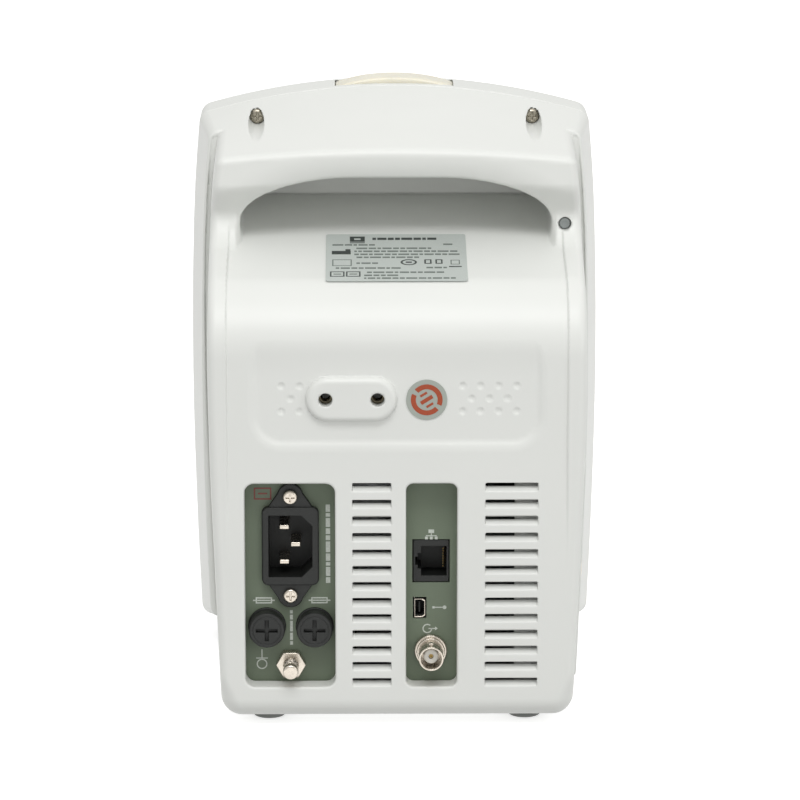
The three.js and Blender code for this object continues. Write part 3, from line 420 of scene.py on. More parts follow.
def trunk_low(x, y, z):
    """The trunk's floor, rear face and sloping top, with the shallow recess between the side rails."""
    edge = 1 - smooth(np.abs(x), RAIL_X - RAIL_EDGE, RAIL_X + RAIL_EDGE)
    recess = RAIL_DEPTH * edge * smooth(z, *RAIL_START) * (1 - smooth(z, *RAIL_END))
    back = rmax(y - REAR_Y, slope_over(y, z), SHOULDER_R) + recess
    return rmax(back, FLOOR_Z - z, TRUNK_EDGE_R)


def rear_form(p):
    """The rear housing's outside, with no openings but the hand pocket."""
    x, y, z = p.x, p.y, p.z
    low = trunk_low(x, y, z)
    pocket = pocket_at(x, y, z)
    leg_y = LEG_Y + (HOOD_Y - LEG_Y) * smooth(z, *LEG_FADE)
    hood = rmax(y - leg_y, (z - top_at(x, y)) * HOOD_SLANT, HOOD_EDGE_R)
    lip = LIP_BACK * (y - leg_y) - LIP_IN * pocket + LIP_LESS * smooth(z, *LIP_FADE) - LIP_CUT
    hood = rmax(hood, lip, LIP_R)
    hood = rmax(hood, -pocket, 1.0)
    fillet = LEG_FILLET + LEG_FLARE * smooth(y, *LEG_FLARE_Y) * smooth(np.abs(x), *LEG_FLARE_X)
    body = np.maximum(rmin(hood, low, fillet), FLOOR_Z - z)
    corner = TRUNK_CORNER_R + TRUNK_FOOT_R * smooth(-z, *TRUNK_FOOT_FADE)
    side = trunk_side(x, y, z)
    body = rmax(body, side, corner)
    draft = FRAME_DRAFT * (y - PARTING_Y) / (FRAME_REAR_Y - PARTING_Y)
    rim = rmax(frame_form(x, y, z, draft), y - FRAME_REAR_Y, FRAME_REAR_R)
    depth = GROOVE_DEPTH * (1 - smooth(z, *GROOVE_FADE))
    groove = np.maximum(side - GROOVE, FRAME_REAR_Y - depth - y)
    groove = np.maximum(groove, z - top_at(x, y) + 2.5)
    rim = rmax(rim, -groove, 0.8)
    rim = rmax(rim, -pocket, POCKET_MOUTH_R)
    return np.minimum(body, rim)


def rear_inside(p):
    """The hollow of the rear housing. The handle over the pocket is solid.

    A sill closes the housing's open front below the frame's lower edge.
    """
    x, y, z = p.x, p.y, p.z
    side = trunk_side(x, y, z) + WALL
    under = rmax(trunk_low(x, y, z) + WALL, side, 6)
    sill = np.minimum(PARTING_Y + WALL - y, FRAME_FLOOR + 1 - z)
    under = np.maximum(under, sill)
    ahead = np.maximum(y - POCKET_Y + WALL, z - top_at(x, y) + WALL)
    ahead = np.maximum(np.maximum(ahead, FLOOR_Z + WALL - z), np.maximum(side, sill))
    return np.minimum(under, ahead)


def window_rect(q, name, grow):
    plate, corner = WINDOWS[name]
    x, z, width, height = face_of(*plate)
    width, height = width - 2 * WELL + 2 * grow, height - 2 * WELL + 2 * grow
    return rect(q.x - x, q.z - z, width, height, corner + grow)


def slot_zs():
    """The lower edge of each vent slot, from the bottom up."""
    return [SLOT_TOP - SLOT_HEIGHT - i * SLOT_PITCH for i in reversed(range(SLOTS))]


def with_block(f, p, low, high, reach):
    """Adds a plain block. reach is how far round it the field is reworked."""
    def add(g, q):
        solid = np.maximum(between(q.x, low[0], high[0]), between(q.y, low[1], high[1]))
        return np.minimum(g, np.maximum(solid, between(q.z, low[2], high[2])))

    change(f, p, np.array(low) - reach, np.array(high) + reach, add)


def with_vents(f, p):
    """The slots, each column in a thickened wall, and the rib seen through the right-hand column."""
    zs = slot_zs()
    cosine = SLOT_DEPTH / math.hypot(SLOT_DEPTH, SLOT_RISE)
    top = zs[-1] + SLOT_HEIGHT + SLOT_RISE + 2
    for cx, width in VENTS:
        half = width / 2
        low = (cx - half - VENT_SKIRT, REAR_Y - SLOT_DEPTH, zs[0] - 3)
        with_block(f, p, low, (cx + half + VENT_SKIRT, REAR_Y - 1, top), 3)

        def cut(g, q):
            rise = SLOT_RISE * (REAR_Y - q.y) / SLOT_DEPTH
            slot = np.inf
            for z in zs:
                level = (q.z - z - rise) * cosine
                slot = np.minimum(slot, between(level, 0, SLOT_HEIGHT * cosine))
            slot = rmax(slot, np.abs(q.x - cx) - half, 0.3)
            return rmax(g, -slot, 0.35)

        low = (cx - half - 2, REAR_Y - SLOT_DEPTH - 2, zs[0] - 2)
        change(f, p, low, (cx + half + 2, REAR_Y + 2, top), cut)
    cx, width = VENTS[1]
    low = (cx - width / 2 - VENT_SKIRT, RIB_Y[0], zs[0] - 6)
    with_block(f, p, low, (cx - RIB_SHARE * width, RIB_Y[1], zs[-1] + SLOT_HEIGHT + 4), 2)
    return f


def with_windows(f, p):
    """The two windows for the connector plates, each at the bottom of a walled well."""
    for name, ((low, high), _) in WINDOWS.items():
        box_low = (low[0] - 4, PLATE_Y - 8, low[2] - 4)
        box_high = (high[0] + 4, REAR_Y + 3, high[2] + 4)

        def well(g, q):
            wall = np.maximum(window_rect(q, name, WELL_WALL), between(q.y, PLATE_Y + SEAM, REAR_Y - 1))
            return np.minimum(g, wall)

        def cut(g, q):
            hole = np.maximum(window_rect(q, name, 0), PLATE_Y - 7 - q.y)
            return rmax(g, -hole, 0.9)

        change(f, p, box_low, box_high, well)
        change(f, p, box_low, box_high, cut)
    return f


def dimples():
    """Centres of the small dimples either side of the bracket pad, in x and z."""
    found = []
    for x0, wide in ((PAD[0] + 27.0, 2), (PAD[0] - 42.7, 4)):
        for row, count in ((1, wide), (0, wide - 1), (-1, wide)):
            start = x0 - (0 if count == wide else DIMPLE_PITCH / 2)
            found += [(start - DIMPLE_PITCH * i, PAD[2] + DIMPLE_RISE * row) for i in range(count)]
    return found


def with_rear_marks(f, p):
    """The U-shaped ledge, the bracket pad with its two holes, and the dimples."""
    def ledge(g, q):
        wide = rect(q.x, q.z - LEDGE_Z - 40, 2 * LEDGE_HALF, 80, LEDGE_CORNER)
        depth = LEDGE_DEPTH * (1 - smooth(q.z, *LEDGE_FADE))
        floor = REAR_Y - RAIL_DEPTH - depth - q.y
        side = (wide + LEDGE_DRAFT * floor) / math.hypot(1, LEDGE_DRAFT)
        return rmax(g, -rmax(side, floor, 0.4), 0.7)

    change(f, p, (-LEDGE_HALF - 7, REAR_Y - 6, LEDGE_Z - 7), (LEDGE_HALF + 7, REAR_Y + 2, 162), ledge)

    def pad(g, q):
        plate = rect(q.x - PAD[0], q.z - PAD[2], *PAD_SIZE, PAD_SIZE[1] / 2)
        plate = rmax(plate, between(q.y, REAR_Y - 5, REAR_Y + PAD_RISE), PAD_EDGE_R)
        g = rmin(g, plate, 0.4)
        for at in INSERTS:
            r = off_axis(q, at)
            boss = np.maximum(r - BOSS_R, between(q.y, BORE_END_Y - 2, REAR_Y - 2))
            g = np.minimum(g, boss)
            seat = np.maximum(r - SEAT_R, between(q.y, BORE_END_Y, INSERT_Y + SEAM))
            g = np.maximum(g, -seat)
            g = rmax(g, -np.maximum(r - MOUTH_R, BORE_END_Y - q.y), 0.5)
        return g

    low = (PAD[0] - 22, REAR_Y - 17, PAD[2] - 13)
    high = (PAD[0] + 22, REAR_Y + 3, PAD[2] + 13)
    change(f, p, low, high, pad)
    for x, z in dimples():
        def dent(g, q):
            up = q.y - LEDGE_Y - DIMPLE_LIFT
            ball = np.sqrt((q.x - x) ** 2 + up ** 2 + (q.z - z) ** 2) - DIMPLE_R
            return rmax(g, -ball, 0.3)

        change_near(f, p, x, z, 2.5, REAR_Y - 4, REAR_Y + 1, dent)
    return f


def with_screws(f, p):
    """The screw channels through the hood, each with its post."""
    for at in SCREWS:
        cx, cz = at[0], at[2]

        def post(g, q):
            wall = np.maximum(np.abs(q.x - cx) - POST_HALF, cz - POST_HALF - q.z)
            wall = np.maximum(np.maximum(wall, q.y - POST_END_Y), rear_form(q))
            return np.minimum(g, wall)

        def channel(g, q):
            r = off_axis(q, at)
            cut = np.maximum(r - SCREW_BORE_R, SCREW_HEAD_Y - 2.2 - q.y)
            shank = np.maximum(r - SHANK_BORE_R, q.y + 20)
            return np.maximum(rmax(g, -cut, 0.4), -shank)

        low = (cx - 8, PARTING_Y - 1, cz - 8)
        change(f, p, low, (cx + 8, POST_END_Y + 2, 240), post)
        change(f, p, low, (cx + 8, 44, 240), channel)
    return f


def with_small_holes(f, p):
    """Holes for the handle plug, the feet and the sensor sockets, and the seam and dot in the pocket."""
    def plug_hole(g, q):
        return rmax(g, -(off_axis(q, PLUG) - 2.5), 0.3)

    change_near(f, p, PLUG[0], PLUG[2], 4, LEG_Y - 5, LEG_Y + 6, plug_hole)
    for x, y, _ in FEET.values():
        def bolt(g, q):
            return np.maximum(g, 3.3 - np.hypot(q.x - x, q.y - y))

        change(f, p, (x - 5, y - 5, 0), (x + 5, y + 5, FLOOR_Z + 5), bolt)
    for (_, y, z), r in zip(SOCKETS.values(), SOCKET_HOLES):
        def port(g, q):
            return np.maximum(g, r - np.hypot(q.y - y, q.z - z))

        change(f, p, (-90, y - 11, z - 11), (-60, y + 11, z + 11), port)

    def seam(g, q):
        slot = between(q.z, POCKET_SEAM_Z, POCKET_SEAM_Z + POCKET_SEAM)
        slot = np.maximum(slot, POCKET_Y - POCKET_SEAM_DEPTH - q.y)
        return rmax(g, -slot, 0.15)

    low = (-POCKET_HALF, POCKET_Y - 2, POCKET_SEAM_Z - 2)
    change(f, p, low, (POCKET_HALF, POCKET_Y + 3, POCKET_SEAM_Z + 3), seam)
    x, z = POCKET_DOT

    def dot(g, q):
        return np.maximum(g, POCKET_DOT_R - np.hypot(q.x - POCKET_DOT[0], q.z - POCKET_DOT[1]))

    change_near(f, p, x, z, 2, POCKET_Y - 4, POCKET_Y + 3, dot)
    return f


def rear_case(p):
    form = rear_form(p)
    f = np.array(np.broadcast_to(np.maximum(form, -rear_inside(p)), form.shape))
    for add in (with_rear_marks, with_windows, with_vents, with_screws, with_small_holes):
        f = add(f, p)
    return rmax(f, PARTING_Y - p.y, PARTING_R)


def rear_axes():
    """Grid lines, closer together where there are edges and small openings."""
    edges_x = [MAINS[0][0] + WELL, MAINS[1][0] - WELL, DATA[0][0] + WELL, DATA[1][0] - WELL]
    for cx, width in VENTS:
        edges_x += [cx - width / 2, cx + width / 2]
    bands_x = [(v - 1.2, v + 1.2) for v in edges_x]
    bands_x += [(x - 1.8, x + 1.8) for x, _ in dimples()[::3]]
    bands_x += [(at[0] - 4.5, at[0] + 4.5) for at in SCREWS]
    bands_x += [(-79, -64), (64, 79)]
    xs = spaced(CASE_LOW[0] - 2.3, CASE_HIGH[0] + 2.3, 1.4, 0.7, bands_x)
    bands_y = [(PARTING_Y - 1, PARTING_Y + 1.5), (POCKET_Y - 2, POCKET_Y + 1)]
    bands_y += [(FRAME_REAR_Y - 3, FRAME_REAR_Y + 2), (SCREW_HEAD_Y - 3, SCREW_HEAD_Y + 4), (70, 80)]
    ys = spaced(PARTING_Y - 1.6, REAR_Y + 2.5, 1.4, 0.5, bands_y)
    bands_z = [(15, 100), (124, 140), (POCKET_SEAM_Z - 1, POCKET_SEAM_Z + 2)]
    bands_z.append((SCREWS[0][2] - 5, SCREWS[0][2] + 6))
    zs = spaced(FLOOR_Z - 2.3, CASE_HIGH[2] + 3, 1.4, 0.55, bands_z)
    return xs, ys, zs


# ---------------------------------------------------------------- casing: the front housing
GLASS = span("screen_window")
KEYS = [span(f"key_{i}") for i in range(1, 6)]
KEY_FLANGE = 1.5
POWER = middle("power_key")
POWER_FLANGE = 1.2
POWER_R = half_width("power_key") - POWER_FLANGE
STATUS = middle("status_light")
KNOB = middle("encoder_knob")
KNOB_TIP = span("encoder_knob")[0][1]
KNOB_R = half_width("encoder_knob")
SPEAKER = middle("speaker")
SPEAKER_R = half_width("speaker")
SPEAKER_PITCH, SPEAKER_SLOT = 4.2, 1.8
LAMP = span("alarm_lens")
LAMP_HALF = half_width("alarm_lens")
FRONT_WALL, FRONT_R = 3, 4.2
FLANGE_Y = FRONT_Y + FRONT_WALL + SEAM  # the keys' flanges start here, behind the front wall
HOLE_EDGE = 0.35


def rod(q, x, z, r, y0, y1, edge):
    return rmax(np.hypot(q.x - x, q.z - z) - r, between(q.y, y0, y1), edge)


def block(q, x, z, width, height, corner, y0, y1, edge):
    return rmax(rect(q.x - x, q.z - z, width, height, corner), between(q.y, y0, y1), edge)


def less(a, b, edge=0.2):
    return rmax(a, -b, edge)


def cross(q, x, z, long, wide):
    a, b = np.abs(q.x - x), np.abs(q.z - z)
    return np.minimum(np.maximum(a - long, b - wide), np.maximum(a - wide, b - long))


def lamp_at(x, z, grow):
    """The arched outline of the alarm light."""
    low = LAMP[0][2]
    wide, tall = LAMP_HALF + 1.5, LAMP[1][2] - low + 0.6
    a, b = x / wide, np.maximum(z - low + 0.6, 0) / tall
    e = np.hypot(a, b)
    steep = np.maximum(np.hypot(a / wide, b / tall), 1e-5)
    arch = (e - 1) * np.maximum(e, 1e-4) / steep - grow
    return np.maximum(np.maximum(arch, low - grow - z), np.abs(x) - LAMP_HALF - grow)


def front_form(p, inset=0.0):
    x, y, z = p.x, p.y, p.z
    side = np.abs(x) - profile_at(z, FRAME)
    ring = rmax(side, FRAME_FLOOR - z, FRAME_LOW_R)
    body = rmax(ring, (z - top_at(x, y)) * FRAME_SLANT, FRAME_TOP_R)
    return rmax(body, FRONT_Y - y, FRONT_R) + inset


def front_case(p):
    """The front housing: a shell with its screen opening, key holes, speaker slots and lamp recess."""
    inside = np.maximum(front_form(p, WALL), FRONT_Y + FRONT_WALL - p.y)
    f = np.maximum(front_form(p), -inside)
    f = rmax(f, p.y - PARTING_Y + SEAM, PARTING_R)
    face, behind = FRONT_Y - 2, FRONT_Y + 6
    _, cz, width, height = face_of(*GLASS)

    def screen(g, q):
        recess = rect(q.x, q.z - cz, width + 2 * SEAM, height + 2 * SEAM, 5.0)
        opening = rect(q.x, q.z - cz, width - 12, height - 10, 1.5)
        g = rmax(g, -np.maximum(recess, q.y - GLASS[1][1] - SEAM), HOLE_EDGE)
        return rmax(g, -opening, 0.3)

    change(f, p, (-70, face, 112), (70, behind, 222), screen)
    for low, high in KEYS:
        x, z, width, height = face_of(low, high)
        wide, tall = width - 2 * KEY_FLANGE, height - 2 * KEY_FLANGE

        def key_hole(g, q):
            return rmax(g, -rect(q.x - x, q.z - z, wide + 0.8, tall + 0.8, 3.6), HOLE_EDGE)

        change(f, p, (low[0] - 2, face, low[2] - 2), (high[0] + 2, behind, high[2] + 2), key_hole)
    for at, r in ((POWER, POWER_R + 0.4), (STATUS, 2.5), (KNOB, 3.6)):
        def round_hole(g, q):
            return rmax(g, -(off_axis(q, at) - r), 0.3)

        change_near(f, p, at[0], at[2], r + 2, face, behind, round_hole)

    def ring_round_knob(g, q):
        r = off_axis(q, KNOB)
        return rmax(g, -np.hypot(r - KNOB_R - 3, (q.y - FRONT_Y) * 1.2) + 0.9, 0.3)

    change_near(f, p, KNOB[0], KNOB[2], KNOB_R + 6, face, FRONT_Y + 2, ring_round_knob)

    def slots(g, q):
        for i in range(-3, 4):
            at = SPEAKER_PITCH * i
            half = math.sqrt((SPEAKER_R - 3) ** 2 - at**2)
            slot = rect(q.x - SPEAKER[0], q.z - SPEAKER[2] - at, 2 * half, SPEAKER_SLOT, 0.85)
            g = rmax(g, -slot, HOLE_EDGE)
        return g

    change_near(f, p, SPEAKER[0], SPEAKER[2], SPEAKER_R + 2, face, behind, slots)

    def lamp_recess(g, q):
        hole = np.maximum(lamp_at(q.x, q.z, SEAM), between(q.y, LAMP[0][1] - SEAM, LAMP[1][1] + SEAM))
        return rmax(g, -hole, 0.3)

    change(f, p, (-34, FRONT_Y, 224), (34, PARTING_Y, 242), lamp_recess)
    for at in SCREWS:
        def boss(g, q):
            r = np.hypot(q.x - at[0], q.z - at[2] + 2.5)
            pillar = np.maximum(r - 4.2, between(q.y, FRONT_Y + 2, PARTING_Y - SEAM))
            pillar = np.maximum(pillar, front_form(q))
            bore = np.maximum(off_axis(q, at) - SHANK_BORE_R, -60 - q.y)
            return np.maximum(np.minimum(g, pillar), -bore)

        change(f, p, (at[0] - 7, FRONT_Y, at[2] - 9), (at[0] + 7, PARTING_Y + 1, 240), boss)
    return f


def front_axes():
    xs = spaced(-CASE_HIGH[0] - 3, CASE_HIGH[0] + 3, 1.2, 0.6, [(-62, -48), (39, 49)])
    ys = np.arange(FRONT_Y - 1.613, PARTING_Y + 1.0, 0.6, dtype=np.float32)
    zs = spaced(FRAME_FLOOR - 2.4, 240, 1.2, 0.5, [(30, 68), (94, 106), (226, 238)])
    return xs, ys, zs


# ---------------------------------------------------------------- rear connectors
INLET = middle("mains_inlet")
INLET_SCREWS = [middle("inlet_screw_top"), middle("inlet_screw_bottom")]
INLET_WEB = [(11, 12), (4.9, 21), (-4.9, 21), (-11, 12), (-11, -12), (-4.9, -21), (4.9, -21), (11, -12)]
INLET_CAVITY = [(-4.25, -12.3), (8.45, -12.3), (8.45, 12.3), (-4.25, 12.3), (-8.45, 8.1), (-8.45, -8.1)]
SCREW_SEAT = PLATE_Y + 2.9
FUSES = {side: middle(f"fuse_cap_{side}") for side in ("right", "left")}
FUSE_R, FUSE_TUBE_Y, FUSE_STEM_Y = 7, 33, 62.3
STUD = middle("earth_stud")
STUD_TIP = span("earth_stud")[1][1]
NUT_Y, NUT_HALF = PLATE_Y + 4.9, 5
COS_60, SIN_60 = 0.5, 0.866
ETHERNET = middle("ethernet_jack")
USB = middle("usb_jack")
USB_OUTLINE = [(-2.3, -3.1), (-0.8, -4.0), (2.3, -4.0), (2.3, 4.0), (-0.8, 4.0), (-2.3, 3.1)]
USB_SHELL, USB_BORE, USB_LINER = 0.94, 0.78, 0.68  # shares of the outline
BNC = middle("bnc_contact")
BNC_TIP = span("bnc_shell")[1][1]


def inlet(q):
    x, y, z = q.x - INLET[0], q.y - PLATE_Y, q.z - INLET[2]
    pitch = INLET_SCREWS[0][2] - INLET_SCREWS[1][2]
    ear = np.hypot(x, np.abs(z) - pitch / 2)
    flange = rmax(np.minimum(outline(x, z, INLET_WEB), ear - 5), between(y, SEAM, 2.6), 0.45)
    raised = rmax(rect(x, z, 22.2, 31.4, 2.6), between(y, SEAM, 3.6), 0.8)
    body = np.maximum(rect(x, z, 19.6, 27.4, 2), between(y, -16, 1))
    f = np.minimum(np.minimum(flange, raised), body)
    f = less(f, np.maximum(outline(x, z, INLET_CAVITY), -12.4 - y), 0.4)
    return np.maximum(f, -np.maximum(ear - 1.8, -1 - y))


def pin_field(node):
    low, high = span(node)

    def pin(q):
        return block(q, *face_of(low, high), 0.45, low[1], high[1], 0.7)

    return pin


def pan_screw(at):
    def field(q):
        r = off_axis(q, at)
        head = rmax(r - 2.8, between(q.y, SCREW_SEAT, SCREW_SEAT + 1.8), 1.0)
        recess = np.maximum(cross(q, at[0], at[2], 1.7, 0.33), SCREW_SEAT + 0.8 - q.y)
        shank = np.maximum(r - 1.5, between(q.y, PLATE_Y - 8, SCREW_SEAT + 0.3))
        return np.minimum(less(head, recess, 0.12), shank)

    return field


def hood_screw(at):
    seat = SCREW_HEAD_Y - 2.1
    tip = span("casing_screw_left")[0][1]

    def field(q):
        r = off_axis(q, at)
        dome = rmax(r - 3.0, between(q.y, seat, SCREW_HEAD_Y), 1.3)
        recess = np.maximum(cross(q, at[0], at[2], 1.7, 0.36), SCREW_HEAD_Y - 1.1 - q.y)
        shank = np.maximum(r - 1.45 + 0.3 * ridge(q, at, 1.2), between(q.y, tip, seat + 0.4))
        return np.minimum(less(dome, recess, 0.15), shank)

    return field


def fuse_ring(at):
    def field(q):
        r = off_axis(q, at)
        tube = np.maximum(r - 6, between(q.y, FUSE_TUBE_Y, PLATE_Y + 1))
        collar = rmax(r - 7.4, between(q.y, PLATE_Y + SEAM, PLATE_Y + 1.8), 0.5)
        return less(np.minimum(tube, collar), np.maximum(r - 4.5, FUSE_TUBE_Y + 3 - q.y), 0.2)

    return field


def fuse_cap(at):
    face = PLATE_Y + 8.3

    def field(q):
        r = off_axis(q, at)
        cap = rmax(r - FUSE_R, between(q.y, PLATE_Y + 2.1, face), 0.9)
        rim = np.hypot(r - FUSE_R + 1.5, q.y - face) - 0.22
        cap = less(cap, rim, 0.12)
        slot = np.maximum(cross(q, at[0], at[2], 4.2, 0.72), face - 1.7 - q.y)
        stem = rmax(r - 3.9, between(q.y, FUSE_STEM_Y, PLATE_Y + 3), 0.3)
        return np.minimum(less(cap, slot, 0.25), stem)

    return field


def stud_field(q):
    r, thread = off_axis(q, STUD), ridge(q, STUD, 0.9)
    low = span("earth_stud")[0][1]
    shank = np.maximum(r - 2.5 + 0.32 * thread, between(q.y, low, PLATE_Y + 5.2))
    neck = np.maximum(r - 2.95 + 0.42 * thread, between(q.y, NUT_Y, STUD_TIP - 4.2))
    head = rmax(r - 3.0, between(q.y, STUD_TIP - 4.4, STUD_TIP), 1.1)
    return np.minimum(np.minimum(shank, neck), head)


def nut_field(q):
    x, z = np.abs(q.x - STUD[0]), np.abs(q.z - STUD[2])
    r = np.hypot(x, z)
    six = np.maximum(z, z * COS_60 + x * SIN_60) - NUT_HALF
    nut = rmax(six, between(q.y, PLATE_Y + SEAM, NUT_Y), 0.2)
    nut = np.maximum(nut, (r - NUT_HALF - 0.2) * COS_60 + (q.y - NUT_Y) * SIN_60)
    return less(nut, r - 2.75, 0.25)


def ethernet_field(q):
    x, y, z = q.x - ETHERNET[0], q.y - PLATE_Y, q.z - ETHERNET[2]
    shell = rmax(rect(x, z, 14, 16.8, 0.6), between(y, -18, 0.2), 0.25)
    plug = np.maximum(between(x, -6, 3.8), np.abs(z) - 5.9)
    latch = np.maximum(between(x, 0, 5.1), np.abs(z) - 3.1)
    tab = np.maximum(between(x, 0, 6.1), np.abs(z) - 1.6)
    hole = np.maximum(np.minimum(np.minimum(plug, latch), tab), -12 - y)
    return less(shell, hole, 0.25)


def from_row(v, pitch, count):
    """Distance from the nearest of an even number of pins in a row round the middle."""
    half = pitch / 2
    return v - np.clip(np.round((v - half) / pitch), -(count // 2), count // 2 - 1) * pitch - half


def ethernet_contacts(q):
    x, y, z = q.x - ETHERNET[0], q.y - PLATE_Y, q.z - ETHERNET[2]
    wire = np.hypot(x + 4.9 - 0.22 * (y + 6), from_row(z, 1.02, 8)) - 0.25
    return rmax(wire, between(y, -11, -5.5), 0.15)


def usb_outline(q, share):
    """The socket's outline, drawn in to a share of its full width."""
    points = [(u * share, v * (share + 0.06)) for u, v in USB_OUTLINE]
    return outline(q.x - USB[0], q.z - USB[2], points)


def usb_field(q):
    shell = rmax(usb_outline(q, USB_SHELL), between(q.y, PLATE_Y - 9, PLATE_Y + 0.4), 0.15)
    return less(shell, usb_outline(q, USB_BORE), 0.12)


def usb_inside(q):
    y = q.y - PLATE_Y
    liner = np.maximum(usb_outline(q, USB_BORE), between(y, -9, -0.3))
    liner = less(liner, np.maximum(usb_outline(q, USB_LINER), -7 - y), 0.1)
    tongue = rmax(rect(q.x - USB[0] - 0.1, q.z - USB[2], 0.8, 4.4, 0.1), between(y, -8, -1.5), 0.1)
    return np.minimum(liner, tongue)


def bnc_field(q):
    x, y, z = q.x - BNC[0], q.y - PLATE_Y, q.z - BNC[2]
    r = off_axis(q, BNC)
    tip = BNC_TIP - PLATE_Y
    nose = rmax(r - 4.8, between(y, -11, tip), 0.35)
    base = rmax(r - 6.35, between(y, SEAM, 3.0), 0.5)
    collar = rmax(r - 5.5, between(y, 2.6, 4.2), 0.4)
    lug = rmax(np.hypot(x, y - tip + 4) - 1.0, between(np.abs(z), 4, 5.6), 0.35)
    f = np.minimum(np.minimum(nose, base), np.minimum(collar, lug))
    f = less(f, np.maximum(r - 4.05, 5 - y), 0.25)
    return np.maximum(f, 2.5 - r)


def bnc_core(q):
    r = off_axis(q, BNC)
    y = q.y - PLATE_Y
    stem = np.maximum(r - 2.2, between(y, -10, 6))
    nose = rmax(r - 2.9, between(y, 5.3, 10.3), 0.5)
    return less(np.minimum(stem, nose), r - 0.95, 0.25)


def bnc_pin(q):
    r = off_axis(q, BNC)
    f = rmax(r - 0.72, between(q.y, 53, PLATE_Y + 9.6), 0.15)
    return less(f, np.maximum(r - 0.34, PLATE_Y + 7 - q.y), 0.08)


def insert_field(at):
    def field(q):
        r = off_axis(q, at)
        sleeve = rmax(r - INSERT_R, between(q.y, INSERT_END_Y, INSERT_Y), 0.2)
        return np.maximum(sleeve, INSERT_BORE_R + 0.3 * ridge(q, at, INSERT_PITCH) - r)

    return field


def foot_field(at):
    def field(q):
        r = np.hypot(q.x - at[0], q.y - at[1])
        above = q.z - FLOOR_Z - WALL
        pad = rmax(r - 6.5, between(q.z, 0, FLOOR_Z - SEAM), 1.1)
        pad = less(pad, np.hypot(r - 4.2, q.z) - 0.5, 0.2)
        stem = np.maximum(r - 2.9, between(above, -WALL - 1, 1))
        barb = rmax(r - 3.9 + 0.7 * (above - SEAM), SEAM - above, 0.3)
        barb = rmax(barb, above - 2.4, 0.3)
        return np.minimum(np.minimum(pad, stem), barb)

    return field


def plug_field(q):
    f = rod(q, PLUG[0], PLUG[2], 2.2, LEG_Y - 3, LEG_Y + 0.3, 0.5)
    return less(f, np.hypot(off_axis(q, PLUG), q.y - LEG_Y - 2.6) - 2.6, 0.1)


# ---------------------------------------------------------------- labels
LABEL_Y, LABEL_SIZE = 36.5, (55, 47)
INK, LABEL_INK = 0.12, 0.06  # how thick the printed marks are
KEY_DISH = 0.32  # how far the middle of a key's dished face lies behind its rim
SKIN = 0.3
SLOPE_COS, SLOPE_SIN = 1 / SLOPE_LENGTH, SLOPE_RISE / SLOPE_LENGTH
LABEL_REST = -RAIL_DEPTH + 0.05
STICKER = middle("round_sticker")
STICKER_R = half_width("round_sticker")
STICKER_Y = LEDGE_Y + 0.05


def label_point(u, v, n):
    """A place on the sloping label: u along x, v down the slope, n off the label's face."""
    lift = LABEL_REST + SKIN + n
    y = LABEL_Y + v * SLOPE_COS + lift * SLOPE_SIN
    z = SLOPE_Z + SLOPE_RISE * (SLOPE_Y - LABEL_Y) - v * SLOPE_SIN + lift * SLOPE_COS
    return u, y, z


def sticker_point(u, v, n):
    return STICKER[0] + u, STICKER_Y + SKIN + n, STICKER[2] + v


# ---------------------------------------------------------------- printed marks, as thin raised shapes
def bar(u, v, width, height, turn=0.0):
    c, s = math.cos(turn), math.sin(turn)
    corners = [(-1, -1), (1, -1), (1, 1), (-1, 1)]
    loop = [(a * width / 2, b * height / 2) for a, b in corners]
    return [(u + a * c - b * s, v + a * s + b * c) for a, b in loop], None


def border(u, v, width, height, line):
    outer = bar(u, v, width, height)[0]
    return outer, bar(u, v, width - 2 * line, height - 2 * line)[0]


def disc(u, v, r, steps):
    angles = [2 * math.pi * i / steps for i in range(steps)]
    return [(u + r * math.cos(a), v + r * math.sin(a)) for a in angles]


def ring(u, v, r, line, steps=40, squash=1.0):
    return tuple([(a, v + (b - v) * squash) for a, b in disc(u, v, edge, steps)] for edge in (r, r - line))


def arc(u, v, r, line, start, end, steps=24):
    angles = [start + (end - start) * i / steps for i in range(steps + 1)]
    outer = [(u + r * math.cos(a), v + r * math.sin(a)) for a in angles]
    inner = [(u + (r - line) * math.cos(a), v + (r - line) * math.sin(a)) for a in reversed(angles)]
    return outer + inner, None


def dashes(u0, u1, v, height, seed, down=False):
    """A broken line of small bars, where the real label carries words."""
    lengths = [2.3, 3.6, 1.4, 2.9, 4.3, 1.9]
    made, at, k = [], u0, seed
    while at < u1 - 0.8:
        length = min(lengths[k % len(lengths)], u1 - at)
        centre = at + length / 2
        made.append(bar(v, centre, height, length) if down else bar(centre, v, length, height))
        at += length + 0.55
        k += 1
    return made


def card(width, height, corner, steps=8):
    """A rectangle with rounded corners."""
    loop = []
    for k, (a, b) in enumerate(((1, 1), (-1, 1), (-1, -1), (1, -1))):
        for i in range(steps + 1):
            angle = math.pi / 2 * (k + i / steps)
            u = a * (width / 2 - corner) + corner * math.cos(angle)
            loop.append((u, b * (height / 2 - corner) + corner * math.sin(angle)))
    return loop, None


